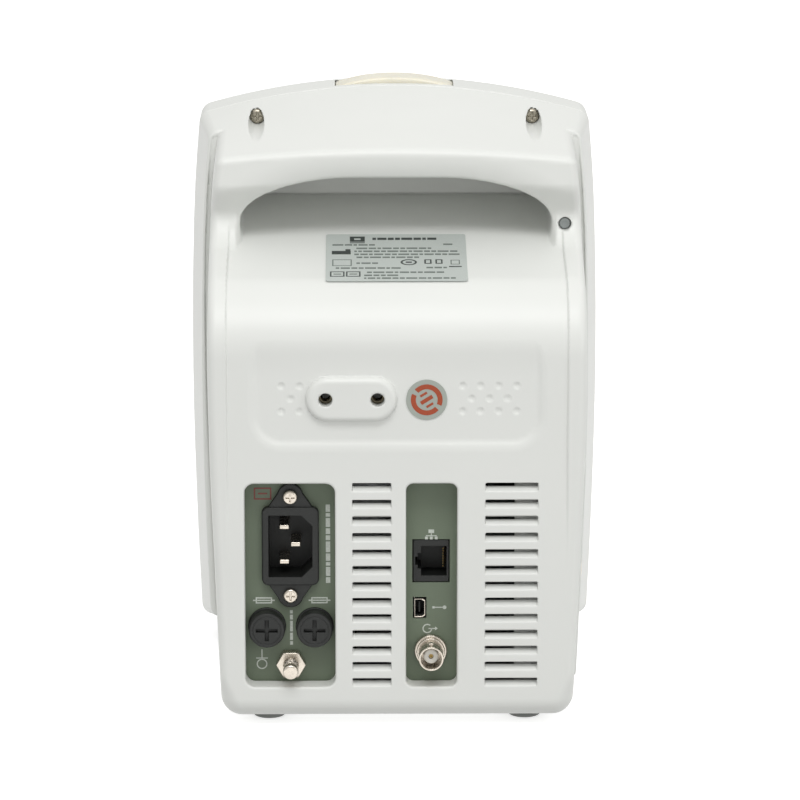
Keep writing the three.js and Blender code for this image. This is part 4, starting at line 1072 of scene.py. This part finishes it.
def stamp(name, shapes, point, thick, body, look, stands_for=()):
    """Thin closed solids over flat shapes. point turns (u, v, n) into a place in millimetres."""
    bm = bmesh.new()
    for outer, inner in shapes:
        loops = [outer] + ([inner] if inner else [])
        levels = [[[bm.verts.new([c * MM for c in point(u, v, n)]) for u, v in loop] for n in (0, thick)]
                  for loop in loops]
        for lower, upper in levels:
            for i in range(len(lower)):
                j = (i + 1) % len(lower)
                bm.faces.new((lower[i], lower[j], upper[j], upper[i]))
        if inner:
            for level in (0, 1):
                a, b = levels[0][level], levels[1][level]
                for i in range(len(a)):
                    j = (i + 1) % len(a)
                    bm.faces.new((a[i], a[j], b[j], b[i]))
        else:
            bm.faces.new(levels[0][0])
            bm.faces.new(levels[0][1])
    bmesh.ops.recalc_face_normals(bm, faces=bm.faces)
    mesh = bpy.data.meshes.new(name)
    bm.to_mesh(mesh)
    bm.free()
    made = place(name, mesh, body, stands_for)
    made.data.materials.append(look)
    return made


# ---------------------------------------------------------------- sensor sockets and screen side
SENSOR = span("sensor_plate")
SOCKET_Y = SOCKETS["spo2_socket"][1]


def socket_place(q, node):
    """Places from a socket's middle, how far out from its rim they are, and off its axis."""
    y, z = q.y - SOCKET_Y, q.z - SOCKETS[node][2]
    return y, z, -q.x + span(node)[0][0], np.hypot(y, z)


def sensor_field(q):
    _, y, z = (SENSOR[0] + SENSOR[1]) / 2
    _, width, height = SENSOR[1] - SENSOR[0]
    out = trunk_side(q.x, q.y, q.z)
    f = rmax(rect(q.y - y, q.z - z, width, height, 5), between(out, SEAM, 1.5), 0.5)
    for (_, sy, sz), r in zip(SOCKETS.values(), SOCKET_HOLES):
        f = less(f, np.hypot(q.y - sy, q.z - sz) - r, 0.25)
    return f


def spo2_field(q):
    y, z, out, r = socket_place(q, "spo2_socket")
    f = rmax(r - 8.5, between(out, -15, 0), 0.5)
    f = less(f, np.maximum(rect(y, z, 6.8, 12, 1.5), -9 - out), 0.3)
    tongue = rmax(rect(y, z, 2.8, 8.8, 0.4), between(out, -10, -1.5), 0.3)
    pins = np.maximum(np.hypot(np.abs(y) - 1.4, from_row(z, 1.6, 6)) - 0.32, between(out, -8, -2))
    return np.minimum(np.minimum(f, tongue), pins)


def nibp_field(q):
    _, _, out, r = socket_place(q, "nibp_port")
    f = rmax(r - 7, between(out, -11.4, 0), 0.5)
    f = less(f, np.maximum(r - 5.2, -6.4 - out), 0.35)
    nozzle = rmax(r - 3.4 + 0.35 * np.abs((out / 1.6) % 1 - 0.5), between(out, -8, -1), 0.5)
    return np.maximum(np.minimum(f, nozzle), 2 - r)


def temp_field(q):
    _, _, out, r = socket_place(q, "temp_socket")
    f = rmax(r - 6, between(out, -13.4, 0), 0.6)
    return less(f, np.maximum(r - 3.2, -9.4 - out), 0.5)


def lens_field(q):
    return rmax(lamp_at(q.x, q.z, 0), between(q.y, LAMP[0][1], LAMP[1][1]), 1.1)


def key_field(i):
    low, high = KEYS[i]
    x, z, width, height = face_of(low, high)

    def field(q):
        wide, tall = width - 2 * KEY_FLANGE, height - 2 * KEY_FLANGE
        cap = block(q, x, z, wide, tall, 3.2, low[1], FLANGE_Y + 0.7, 0.9)
        dish = np.sqrt((q.x - x) ** 2 * 0.25 + (q.y - low[1] + 24.6) ** 2 + (q.z - z) ** 2) - 24.9
        cap = less(cap, dish, 0.8)
        skirt = block(q, x, z, width, height, 3.2, FLANGE_Y, high[1], 0.2)
        return np.minimum(cap, skirt)

    return field


def power_field(q):
    low, high = span("power_key")
    r = off_axis(q, POWER)
    cap = rmax(r - POWER_R, between(q.y, low[1], high[1]), 0.8)
    skirt = np.maximum(r - POWER_R - POWER_FLANGE, between(q.y, FLANGE_Y, high[1]))
    return np.minimum(cap, skirt)


def status_field(q):
    low, high = span("status_light")
    return rmax(off_axis(q, STATUS) - 2.2, between(q.y, low[1], high[1]), 0.9)


def knob_field(q):
    x, z = q.x - KNOB[0], q.z - KNOB[2]
    r = np.hypot(x, z)
    around = np.arctan2(z, x)
    under = FRONT_Y - 1.4
    draw = 0.06 * (under - q.y)
    grip = 0.32 * (1 + np.cos(24 * around)) * smooth(q.y, KNOB_TIP + 1.6, KNOB_TIP + 3.5)
    f = rmax(r - KNOB_R + draw + grip, between(q.y, KNOB_TIP, under), 1.5)
    dish = np.hypot(r, q.y - KNOB_TIP + 60) - 60.8
    f = less(f, np.maximum(dish, r - 11.5), 0.5)
    f = less(f, np.maximum(np.abs(r - 9.7) - 3.7, FRONT_Y - 6 - q.y), 0.3)
    return less(f, np.maximum(r - 3.3, KNOB_TIP + 4 - q.y), 0.2)


# ---------------------------------------------------------------- camera, light and floor
def aim(obj, target):
    direction = Vector(target) - obj.location
    obj.rotation_euler = direction.to_track_quat("-Z", "Y").to_euler()


CAMERA_DISTANCE, CAMERA_UP, CAMERA_ROUND = 1.7, 13, 0.6  # metres, then degrees
CAMERA_TARGET = (-0.0018, 0.003, 0.1145)
SENSOR_WIDTH = 36
FOCAL_PIXELS, IMAGE_PIXELS = 4230, 800
LIT_POINT = (0, 0, 0.12)
SKY_BELOW, SKY_ABOVE = 0.5, 0.85  # strength of the studio's light from below and from above


def add_camera():
    elevation, yaw = math.radians(CAMERA_UP), math.radians(CAMERA_ROUND)
    target = Vector(CAMERA_TARGET)
    back = Vector((
        math.sin(yaw) * math.cos(elevation),
        math.cos(yaw) * math.cos(elevation),
        math.sin(elevation),
    ))
    data = bpy.data.cameras.new("camera")
    data.sensor_width = SENSOR_WIDTH
    data.lens = FOCAL_PIXELS / IMAGE_PIXELS * SENSOR_WIDTH
    camera = bpy.data.objects.new("camera", data)
    bpy.context.scene.collection.objects.link(camera)
    camera.location = target + back * CAMERA_DISTANCE
    aim(camera, target)
    bpy.context.scene.camera = camera


def add_area(name, place_at, size, watts):
    data = bpy.data.lights.new(name, "AREA")
    data.shape = "RECTANGLE"
    data.size, data.size_y = size
    data.energy = watts
    lamp = bpy.data.objects.new(name, data)
    bpy.context.scene.collection.objects.link(lamp)
    lamp.location = place_at
    aim(lamp, LIT_POINT)


def add_light():
    """Two soft lamps, and a studio that is brighter above and plain white to the camera."""
    add_area("key_light", (0.0, 0.95, 1.48), (1.0, 0.5), 10.5)
    add_area("side_light", (-1.5, 1.2, 0.7), (0.8, 1.0), 4)
    world = bpy.data.worlds.new("studio")
    bpy.context.scene.world = world
    world.use_nodes = True
    tree = world.node_tree
    tree.nodes.clear()
    kinds = ("LightPath", "Background", "Background", "TexCoord", "SeparateXYZ", "MapRange")
    rays, seen, felt, facing, parts, height = [tree.nodes.new("ShaderNode" + kind) for kind in kinds]
    seen.inputs["Color"].default_value = (1, 1, 1, 1)
    seen.inputs["Strength"].default_value = 1.0
    felt.inputs["Color"].default_value = (1, 1, 0.985, 1)
    ends = {"From Min": -1, "From Max": 1, "To Min": SKY_BELOW, "To Max": SKY_ABOVE}
    for name, value in ends.items():
        height.inputs[name].default_value = value
    tree.links.new(facing.outputs["Generated"], parts.inputs[0])
    tree.links.new(parts.outputs["Z"], height.inputs["Value"])
    tree.links.new(height.outputs["Result"], felt.inputs["Strength"])
    mix = tree.nodes.new("ShaderNodeMixShader")
    out = tree.nodes.new("ShaderNodeOutputWorld")
    tree.links.new(rays.outputs["Is Camera Ray"], mix.inputs[0])
    tree.links.new(felt.outputs[0], mix.inputs[1])
    tree.links.new(seen.outputs[0], mix.inputs[2])
    tree.links.new(mix.outputs[0], out.inputs["Surface"])
    bpy.context.scene.view_settings.view_transform = "Standard"
    bpy.context.scene.view_settings.look = "None"


# ---------------------------------------------------------------- materials
def shader(name, colour, roughness, metallic=0.0):
    """A new material with its node tree and its surface shader."""
    made = bpy.data.materials.new(name)
    made.use_nodes = True
    surface = made.node_tree.nodes["Principled BSDF"]
    surface.inputs["Base Color"].default_value = (*colour, 1)
    surface.inputs["Roughness"].default_value = roughness
    surface.inputs["Metallic"].default_value = metallic
    return made, made.node_tree, surface


def noise(tree, scale, detail=4.0, stretch=(1, 1, 1)):
    """Noise in the piece's own metres, drawn out along an axis where stretch is below 1."""
    place_node = tree.nodes.new("ShaderNodeTexCoord")
    turned = tree.nodes.new("ShaderNodeMapping")
    turned.inputs["Scale"].default_value = stretch
    made = tree.nodes.new("ShaderNodeTexNoise")
    made.inputs["Scale"].default_value = scale
    made.inputs["Detail"].default_value = detail
    tree.links.new(place_node.outputs["Object"], turned.inputs["Vector"])
    tree.links.new(turned.outputs["Vector"], made.inputs["Vector"])
    return made.outputs["Fac"]


def ramp(tree, source, low, high, start=0.3, end=0.7):
    """source spread from one colour to another, or one grey to another."""
    made = tree.nodes.new("ShaderNodeValToRGB")
    made.color_ramp.elements[0].position = start
    made.color_ramp.elements[1].position = end
    for element, colour in zip(made.color_ramp.elements, (low, high)):
        element.color = (*colour, 1) if isinstance(colour, tuple) else (colour, colour, colour, 1)
    tree.links.new(source, made.inputs[0])
    return made.outputs[0]


def tint(tree, surface, source, colour, share):
    """The surface's colour, brought down to a share of itself where source is low."""
    tree.links.new(ramp(tree, source, darker(colour, share), colour), surface.inputs["Base Color"])


def dull(tree, surface, source, low, high):
    """The surface's roughness, from low to high with source."""
    tree.links.new(ramp(tree, source, low, high), surface.inputs["Roughness"])


def bump(tree, surface, height, strength, distance):
    made = tree.nodes.new("ShaderNodeBump")
    made.inputs["Strength"].default_value = strength
    made.inputs["Distance"].default_value = distance
    tree.links.new(height, made.inputs["Height"])
    tree.links.new(made.outputs[0], surface.inputs["Normal"])


def darker(colour, share):
    return tuple(c * share for c in colour)


def moulded(name, colour, rough, drift=0.95, grain=2600.0, depth=0.00004):
    """Moulded plastic or rubber: a fine spark-eroded grain and a faint drift of colour."""
    made, tree, surface = shader(name, colour, rough)
    tint(tree, surface, noise(tree, 18.0), colour, drift)
    fine = noise(tree, grain, 2.0)
    dull(tree, surface, fine, rough - 0.05, rough + 0.05)
    bump(tree, surface, fine, 0.35, depth)
    return made


def plated(name, colour, rough, stretch=(1, 1, 1), scale=900.0):
    """Plated or bare metal: faint tool marks, and a little tarnish in broad patches."""
    made, tree, surface = shader(name, colour, rough, 1.0)
    tint(tree, surface, noise(tree, 260.0, 5.0), colour, 0.82)
    marks = noise(tree, scale, 3.0, stretch)
    dull(tree, surface, marks, rough - 0.07, rough + 0.1)
    bump(tree, surface, marks, 0.2, 0.00002)
    return made


def printed(name, colour, wear):
    """Screen-printed ink with a slightly uneven film."""
    made, tree, surface = shader(name, colour, 0.5)
    film = noise(tree, 1500.0, 3.0)
    tint(tree, surface, film, colour, wear)
    bump(tree, surface, film, 0.15, 0.00002)
    return made


def glossy(name, colour, rough, smear):
    """Polished plastic or glass with a faint smear in its gloss."""
    made, tree, surface = shader(name, colour, rough)
    film = noise(tree, 30.0, 6.0, (1, 1, 0.4))
    dull(tree, surface, film, rough, rough + smear)
    tint(tree, surface, film, colour, 0.9)
    return made


def lamp_plastic():
    """Milky diffuser with fine moulded ribs under its skin."""
    colour = (0.80, 0.765, 0.64)
    made, tree, surface = shader("lamp_diffuser", colour, 0.28)
    surface.inputs["Subsurface Weight"].default_value = 0.25
    surface.inputs["Subsurface Radius"].default_value = (0.004, 0.0035, 0.0025)
    where = tree.nodes.new("ShaderNodeTexCoord")
    ribs = tree.nodes.new("ShaderNodeTexWave")
    ribs.inputs["Scale"].default_value = 160.0
    ribs.inputs["Distortion"].default_value = 0.4
    tree.links.new(where.outputs["Object"], ribs.inputs["Vector"])
    tint(tree, surface, noise(tree, 60.0), colour, 0.93)
    bump(tree, surface, ribs.outputs["Fac"], 0.12, 0.0001)
    return made


def circuit():
    """Green solder mask with brighter copper tracks under it."""
    mask, track = (0.02, 0.09, 0.035), (0.05, 0.19, 0.075)
    made, tree, surface = shader("circuit_mask", mask, 0.35)
    where = tree.nodes.new("ShaderNodeTexCoord")
    cells = tree.nodes.new("ShaderNodeTexVoronoi")
    cells.distance = "MANHATTAN"
    cells.feature = "DISTANCE_TO_EDGE"
    cells.inputs["Scale"].default_value = 220.0
    tree.links.new(where.outputs["Object"], cells.inputs["Vector"])
    tracks = ramp(tree, cells.outputs["Distance"], track, mask, 0.06, 0.1)
    tree.links.new(tracks, surface.inputs["Base Color"])
    bump(tree, surface, cells.outputs["Distance"], 0.2, 0.00005)
    return made


def foil():
    """Silvery printed foil of the rating label."""
    colour = (0.56, 0.60, 0.575)
    made, tree, surface = shader("label_foil", colour, 0.42, 0.15)
    fleck = noise(tree, 3200.0, 2.0)
    tint(tree, surface, fleck, colour, 0.9)
    dull(tree, surface, noise(tree, 70.0), 0.36, 0.5)
    bump(tree, surface, fleck, 0.1, 0.00001)
    return made


def clear_glass():
    """Fuse glass with a faint film on it."""
    colour = (0.9, 0.93, 0.91)
    made, tree, surface = shader("fuse_glass_clear", colour, 0.06)
    surface.inputs["Transmission Weight"].default_value = 0.7
    film = noise(tree, 300.0)
    dull(tree, surface, film, 0.04, 0.12)
    tint(tree, surface, film, colour, 0.94)
    return made


LOOKS = {
    "casing_white": moulded("casing_white_moulded", (0.74, 0.75, 0.725), 0.42, 0.975),
    "screen_gloss": glossy("screen_window_gloss", (0.012, 0.013, 0.015), 0.05, 0.06),
    "lcd_black": moulded("lcd_frame_black", (0.05, 0.05, 0.055), 0.5),
    "lamp_cream": lamp_plastic(),
    "circuit_green": circuit(),
    "key_rubber": moulded("key_silicone", (0.33, 0.38, 0.40), 0.7, 0.93, 1900.0),
    "grey_plastic": moulded("grey_moulded", (0.24, 0.26, 0.255), 0.5, 0.92),
    "steel": plated("steel_turned", (0.55, 0.55, 0.55), 0.3, (1, 0.08, 1)),
    "aluminium": plated("aluminium_rolled", (0.55, 0.56, 0.57), 0.42, (0.05, 1, 1), 1400.0),
    "black_plastic": moulded("black_moulded", (0.005, 0.006, 0.005), 0.55, 0.8, 2100.0, 0.00005),
    "plate_green": moulded("plate_grey_green", (0.15, 0.185, 0.13), 0.6, 0.93, 1500.0),
    "fuse_glass": clear_glass(),
    "nickel": plated("nickel_plate", (0.66, 0.60, 0.52), 0.24),
    "insulator_white": moulded("insulator_polymer", (0.82, 0.81, 0.76), 0.4, 0.95, 1800.0, 0.00002),
    "brass": plated("brass_turned", (0.62, 0.44, 0.18), 0.3, (1, 0.1, 1)),
    "foot_rubber": moulded("foot_rubber_matt", (0.2, 0.21, 0.2), 0.82, 0.85, 1400.0, 0.00006),
    "label_silver": foil(),
    "sticker_grey": moulded("sticker_vinyl", (0.36, 0.39, 0.35), 0.5, 0.95, 2800.0, 0.00002),
    "sensor_blue": moulded("sensor_socket_blue", (0.05, 0.16, 0.34), 0.45, 0.9),
}
HOOD_SCREW = plated("hood_screw_nickel", (0.50, 0.46, 0.38), 0.26)
# Brass of the bracket inserts, painted much darker than brass: painted shade deep in their holes
SHADE_DARKENED_BRASS = plated("insert_brass_painted_shade", (0.24, 0.21, 0.15), 0.45)
WHITE_INK = printed("white_ink", (0.62, 0.66, 0.60), 0.8)
RED_INK = printed("red_ink", (0.22, 0.045, 0.035), 0.75)
ORANGE_INK = printed("orange_ink", (0.36, 0.055, 0.012), 0.85)
DARK_INK = printed("dark_ink", (0.045, 0.055, 0.05), 0.8)
GREY_INK = printed("grey_ink", (0.17, 0.20, 0.18), 0.8)


# ---------------------------------------------------------------- build
SLOT_OF = {row["node"]: row["material_slot"] for row in frame["record"]["subparts"]}


def small(name, field, low, high, cell, body, slot, stands_for=(), most=16000, look=None):
    """A small piece, from a field sampled evenly inside a box."""
    made = grown(name, field, even_axes(low, high, cell), body, stands_for, most)
    made.data.materials.append(look or LOOKS[slot])


def over(node, field, cell, body="casing", most=16000, look=None):
    """A piece that stands for a CAD node, in that node's own box and material slot."""
    small(node + "_form", field, *span(node), cell, body, SLOT_OF[node], [node], most, look)


def build_casing():
    halves = (
        ("rear_case", rear_case, rear_axes(), "rear_housing", 180000),
        ("front_case", front_case, front_axes(), "front_housing", 110000),
    )
    for name, field, axes, node, most in halves:
        made = grown(name, field, axes, "casing", [node], most)
        made.data.materials.append(LOOKS["casing_white"])
    over("sensor_plate", sensor_field, 0.5, most=24000)
    over("alarm_lens", lens_field, 0.45)


def build_connectors():
    over("mains_inlet", inlet, 0.3, most=30000)
    for name in ("line", "neutral", "earth"):
        over(f"inlet_pin_{name}", pin_field(f"inlet_pin_{name}"), 0.25, most=4000)
    for name, at in zip(("top", "bottom"), INLET_SCREWS):
        over(f"inlet_screw_{name}", pan_screw(at), 0.14, most=12000)
    for side, at in FUSES.items():
        over(f"fuse_holder_{side}", fuse_ring(at), 0.3)
        over(f"fuse_cap_{side}", fuse_cap(at), 0.22, f"fuse_cap_{side}", most=20000)
    over("earth_stud", stud_field, 0.16, most=24000)
    over("earth_nut", nut_field, 0.2, most=8000)
    over("ethernet_jack", ethernet_field, 0.25)
    at = np.array((ETHERNET[0], PLATE_Y, ETHERNET[2]))
    low, high = at + (-6.6, -11.2, -4.3), at + (-3.6, -2.8, 4.3)
    small("ethernet_contacts", ethernet_contacts, low, high, 0.14, "casing", "brass", most=8000)
    over("usb_jack", usb_field, 0.15, most=8000)
    low, high = USB - (2, 5, 4), USB + (2, 5, 4)
    small("usb_inside", usb_inside, low, high, 0.15, "casing", "black_plastic", most=6000)
    over("bnc_shell", bnc_field, 0.2, most=22000)
    over("bnc_insulator", bnc_core, 0.17, most=8000)
    over("bnc_contact", bnc_pin, 0.1, most=4000)


def build_small():
    for side, at in zip(("right", "left"), SCREWS):
        over(f"casing_screw_{side}", hood_screw(at), 0.17, look=HOOD_SCREW)
    for side, at in zip(("right", "left"), INSERTS):
        # the inserts take the brass darkened with painted shade
        over(f"bracket_insert_{side}", insert_field(at), 0.17, look=SHADE_DARKENED_BRASS)
    for name, at in FEET.items():
        over(name, foot_field(at), 0.28, most=8000)
    over("handle_plug", plug_field, 0.14, most=5000)


def build_screen_side():
    for i in range(len(KEYS)):
        over(f"key_{i + 1}", key_field(i), 0.3, f"key_{i + 1}", most=12000)
    over("power_key", power_field, 0.25, "power_key", most=9000)
    over("status_light", status_field, 0.15, most=4000)
    over("encoder_knob", knob_field, 0.3, "encoder_knob", most=40000)
    over("spo2_socket", spo2_field, 0.25, most=20000)
    over("nibp_port", nibp_field, 0.25, most=16000)
    over("temp_socket", temp_field, 0.25, most=12000)


def plate_point(u, v, n):
    return u, PLATE_Y + n, v


def on_plate(name, marks, ink):
    stamp(name, marks, plate_point, INK, "casing", ink)


def build_plate_marks():
    """Plain symbols and broken lines on the two connector plates."""
    marks = dashes(56.4, 88.4, 26.9, 1.7, 0, down=True) + dashes(31.4, 45.4, 41.3, 1.1, 2, down=True)
    for u in (52.0, 30.3):
        marks.append(border(u, 49.4, 6.4, 2.5, 0.5))
        marks.append(bar(u, 49.4, 5.2, 0.45))
        marks += [bar(u + d, 49.4, 1.0, 0.5) for d in (-3.75, 3.75)]
    marks += [ring(52.9, 23.6, 2.1, 0.45), bar(52.9, 27.9, 0.45, 3.4), bar(52.9, 26.0, 4.6, 0.4)]
    on_plate("mains_plate_marks", marks, WHITE_INK)
    marks = [border(52.2, 92.4, 6.8, 4.8, 0.55), bar(52.2, 92.4, 3.6, 0.6)]
    on_plate("mains_plate_red_mark", marks, RED_INK)
    marks = [bar(-13.3, 77.1, 2.2, 1.4), bar(-13.3, 75.9, 0.35, 0.9), bar(-13.3, 75.3, 4.2, 0.35)]
    marks += [bar(-13.3 + d, 74.4, 1.1, 1.1) for d in (-1.9, 0, 1.9)]
    marks += [bar(-16.4, 46.4, 3.4, 0.4), bar(-14.2, 46.4, 0.9, 0.9), (disc(-18.5, 46.4, 0.75, 20), None)]
    marks += [arc(-11.8, 37.8, 1.9, 0.45, 3.1, 2 * math.pi + 2.3), bar(-13.6, 37.8, 2.6, 0.4)]
    marks.append(([(-15.9, 37.8), (-14.8, 37.0), (-14.8, 38.6)], None))
    on_plate("data_plate_marks", marks, WHITE_INK)


def build_labels():
    """The rating label and the round sticker, with bars and boxes where the real ones are printed."""
    def label_back(u, v, n):
        return label_point(u, v, n - SKIN)

    def sticker_back(u, v, n):
        return sticker_point(u, v, n - SKIN)

    sheets = (
        ("rating_label", card(*LABEL_SIZE, 1.2), label_back),
        ("round_sticker", (disc(0, 0, STICKER_R, 72), None), sticker_back),
    )
    for node, shape, point in sheets:
        slot = SLOT_OF[node]
        stamp(node + "_sheet", [shape], point, SKIN, "casing", LOOKS[slot], [node])
    bold = [border(15.2, -18.3, 5.9, 5.2, 1.7), bar(15.2, -14.6, 5.9, 0.7)]
    bold += dashes(-16.0, 9.8, -18.6, 2.2, 1)
    bold += [bar(21.5, -4.6, 7.4, 3.4), bar(18.9, -7.2, 2.0, 1.6)]
    bold += [ring(-4.8, 5.2, 3.2, 0.8, squash=0.9), bar(-4.8, 5.2, 2.4, 1.2)]
    bold += [border(u, 4.6, 2.8, 4.2, 0.6) for u in (-12.3, -16.6)] + [bar(-22.9, 9.6, 4.9, 0.9)]
    bold += [border(u, 16.9, 5.6, 5.0, 0.55) for u in (23.0, 16.8)]
    stamp("rating_label_bold_marks", bold, label_point, LABEL_INK, "casing", DARK_INK)
    fine = [border(21.2, 5.6, 7.6, 6.4, 0.45), bar(23.0, 16.9, 3.0, 0.8), bar(16.8, 16.9, 3.0, 0.8)]
    fine.append(border(-22.9, 5.2, 3.6, 4.4, 0.4))
    rows = [
        (8.3, 25.1, -12.4), (-22.2, -17.6, -12.9), (-13.8, 16.4, -8.9), (-24.0, 16.4, -5.9),
        (-24.8, 16.4, -2.8), (-8.9, 16.4, 0.2), (7.2, 16.4, 6.1), (-1.6, 24.8, 11.0),
        (-19.6, -11.6, 10.6), (-18.4, 12.6, 15.2), (-0.6, 12.6, 18.2), (-22.8, 12.6, 21.0),
    ]
    for k, (u0, u1, v) in enumerate(rows):
        fine += dashes(u0, u1, v, 1.35, k)
    stamp("rating_label_fine_marks", fine, label_point, LABEL_INK, "casing", GREY_INK)

    split = math.radians(32)
    halves = [(split + 0.16 + k * math.pi, split - 0.16 + (k + 1) * math.pi) for k in (0, 1)]
    marks = [arc(0, 0, 6.1, 1.9, start, end) for start, end in halves]
    marks += [bar(0, 0, 5.2, 1.5, -split)]
    marks += [bar(1.2 * side, 2.1 * side, 3.0, 0.9, -split) for side in (-1, 1)]
    stamp("round_sticker_marks", marks, sticker_point, LABEL_INK, "casing", ORANGE_INK)


def build_key_marks():
    """Square, bars, triangle, ring and cross on the keys, a broken ring on the power key.

    The knob has a bar near its edge, so that its turning shows.
    """
    power_ring = arc(0, 0, 2.4, 0.5, math.pi / 2 + 0.6, math.pi * 2.5 - 0.6)
    marks = {
        "key_1": (KEY_DISH, [border(0, 0, 3.2, 3.2, 0.5)]),
        "key_2": (KEY_DISH, [bar(0, d, 3.6, 0.5) for d in (-1.2, 0, 1.2)]),
        "key_3": (KEY_DISH, [([(-1.5, -1.6), (1.8, 0), (-1.5, 1.6)], None)]),
        "key_4": (KEY_DISH, [ring(0, 0, 1.8, 0.5), (disc(0, 0, 0.6, 20), None)]),
        "key_5": (KEY_DISH, [bar(0, 1.2, 0.5, 1.8), bar(0, -1.2, 0.5, 1.8), bar(0, 0, 3.8, 0.5)]),
        "power_key": (0.02, [power_ring, bar(0, 1.7, 0.5, 2.6)]),
        "encoder_knob": (0.05, [bar(0, 12.9, 0.9, 1.6)]),
    }
    for node, (sunk, shapes) in marks.items():
        low, high = span(node)

        def point(u, v, n):
            x, z, _, _ = face_of(low, high)
            return x + u, low[1] + sunk - n, z + v

        thick = 0.1 if node == "encoder_knob" else INK
        stamp(node + "_mark", shapes, point, thick, node, WHITE_INK)


def dress_cad_nodes():
    """Every CAD node that still shows takes its slot's material and soft edges."""
    for name, slot in SLOT_OF.items():
        node = frame["nodes"][name]
        if node.hide_render:
            continue
        for holder in node.material_slots:
            holder.material = LOOKS[slot]
        soft = node.modifiers.new("soft_edges", "BEVEL")
        soft.limit_method = "ANGLE"
        soft.angle_limit = math.radians(35)
        soft.width = 0.15 * MM
        soft.segments = 2


def add_floor():
    """Plain paper, lit a little from within so that it stays near white."""
    mesh = bpy.data.meshes.new("floor")
    mesh.from_pydata([(-3, -3, 0), (3, -3, 0), (3, 3, 0), (-3, 3, 0)], [], [(0, 1, 2, 3)])
    floor = bpy.data.objects.new("floor", mesh)
    bpy.context.scene.collection.objects.link(floor)
    floor.visible_diffuse = False
    paper, _, surface = shader("floor_paper", (0.8, 0.8, 0.8), 0.9)
    surface.inputs["Emission Color"].default_value = (1, 1, 1, 1)
    surface.inputs["Emission Strength"].default_value = 0.6
    mesh.materials.append(paper)


build_casing()
build_connectors()
build_small()
build_screen_side()
build_plate_marks()
build_labels()
build_key_marks()
dress_cad_nodes()
add_floor()
add_camera()
add_light()
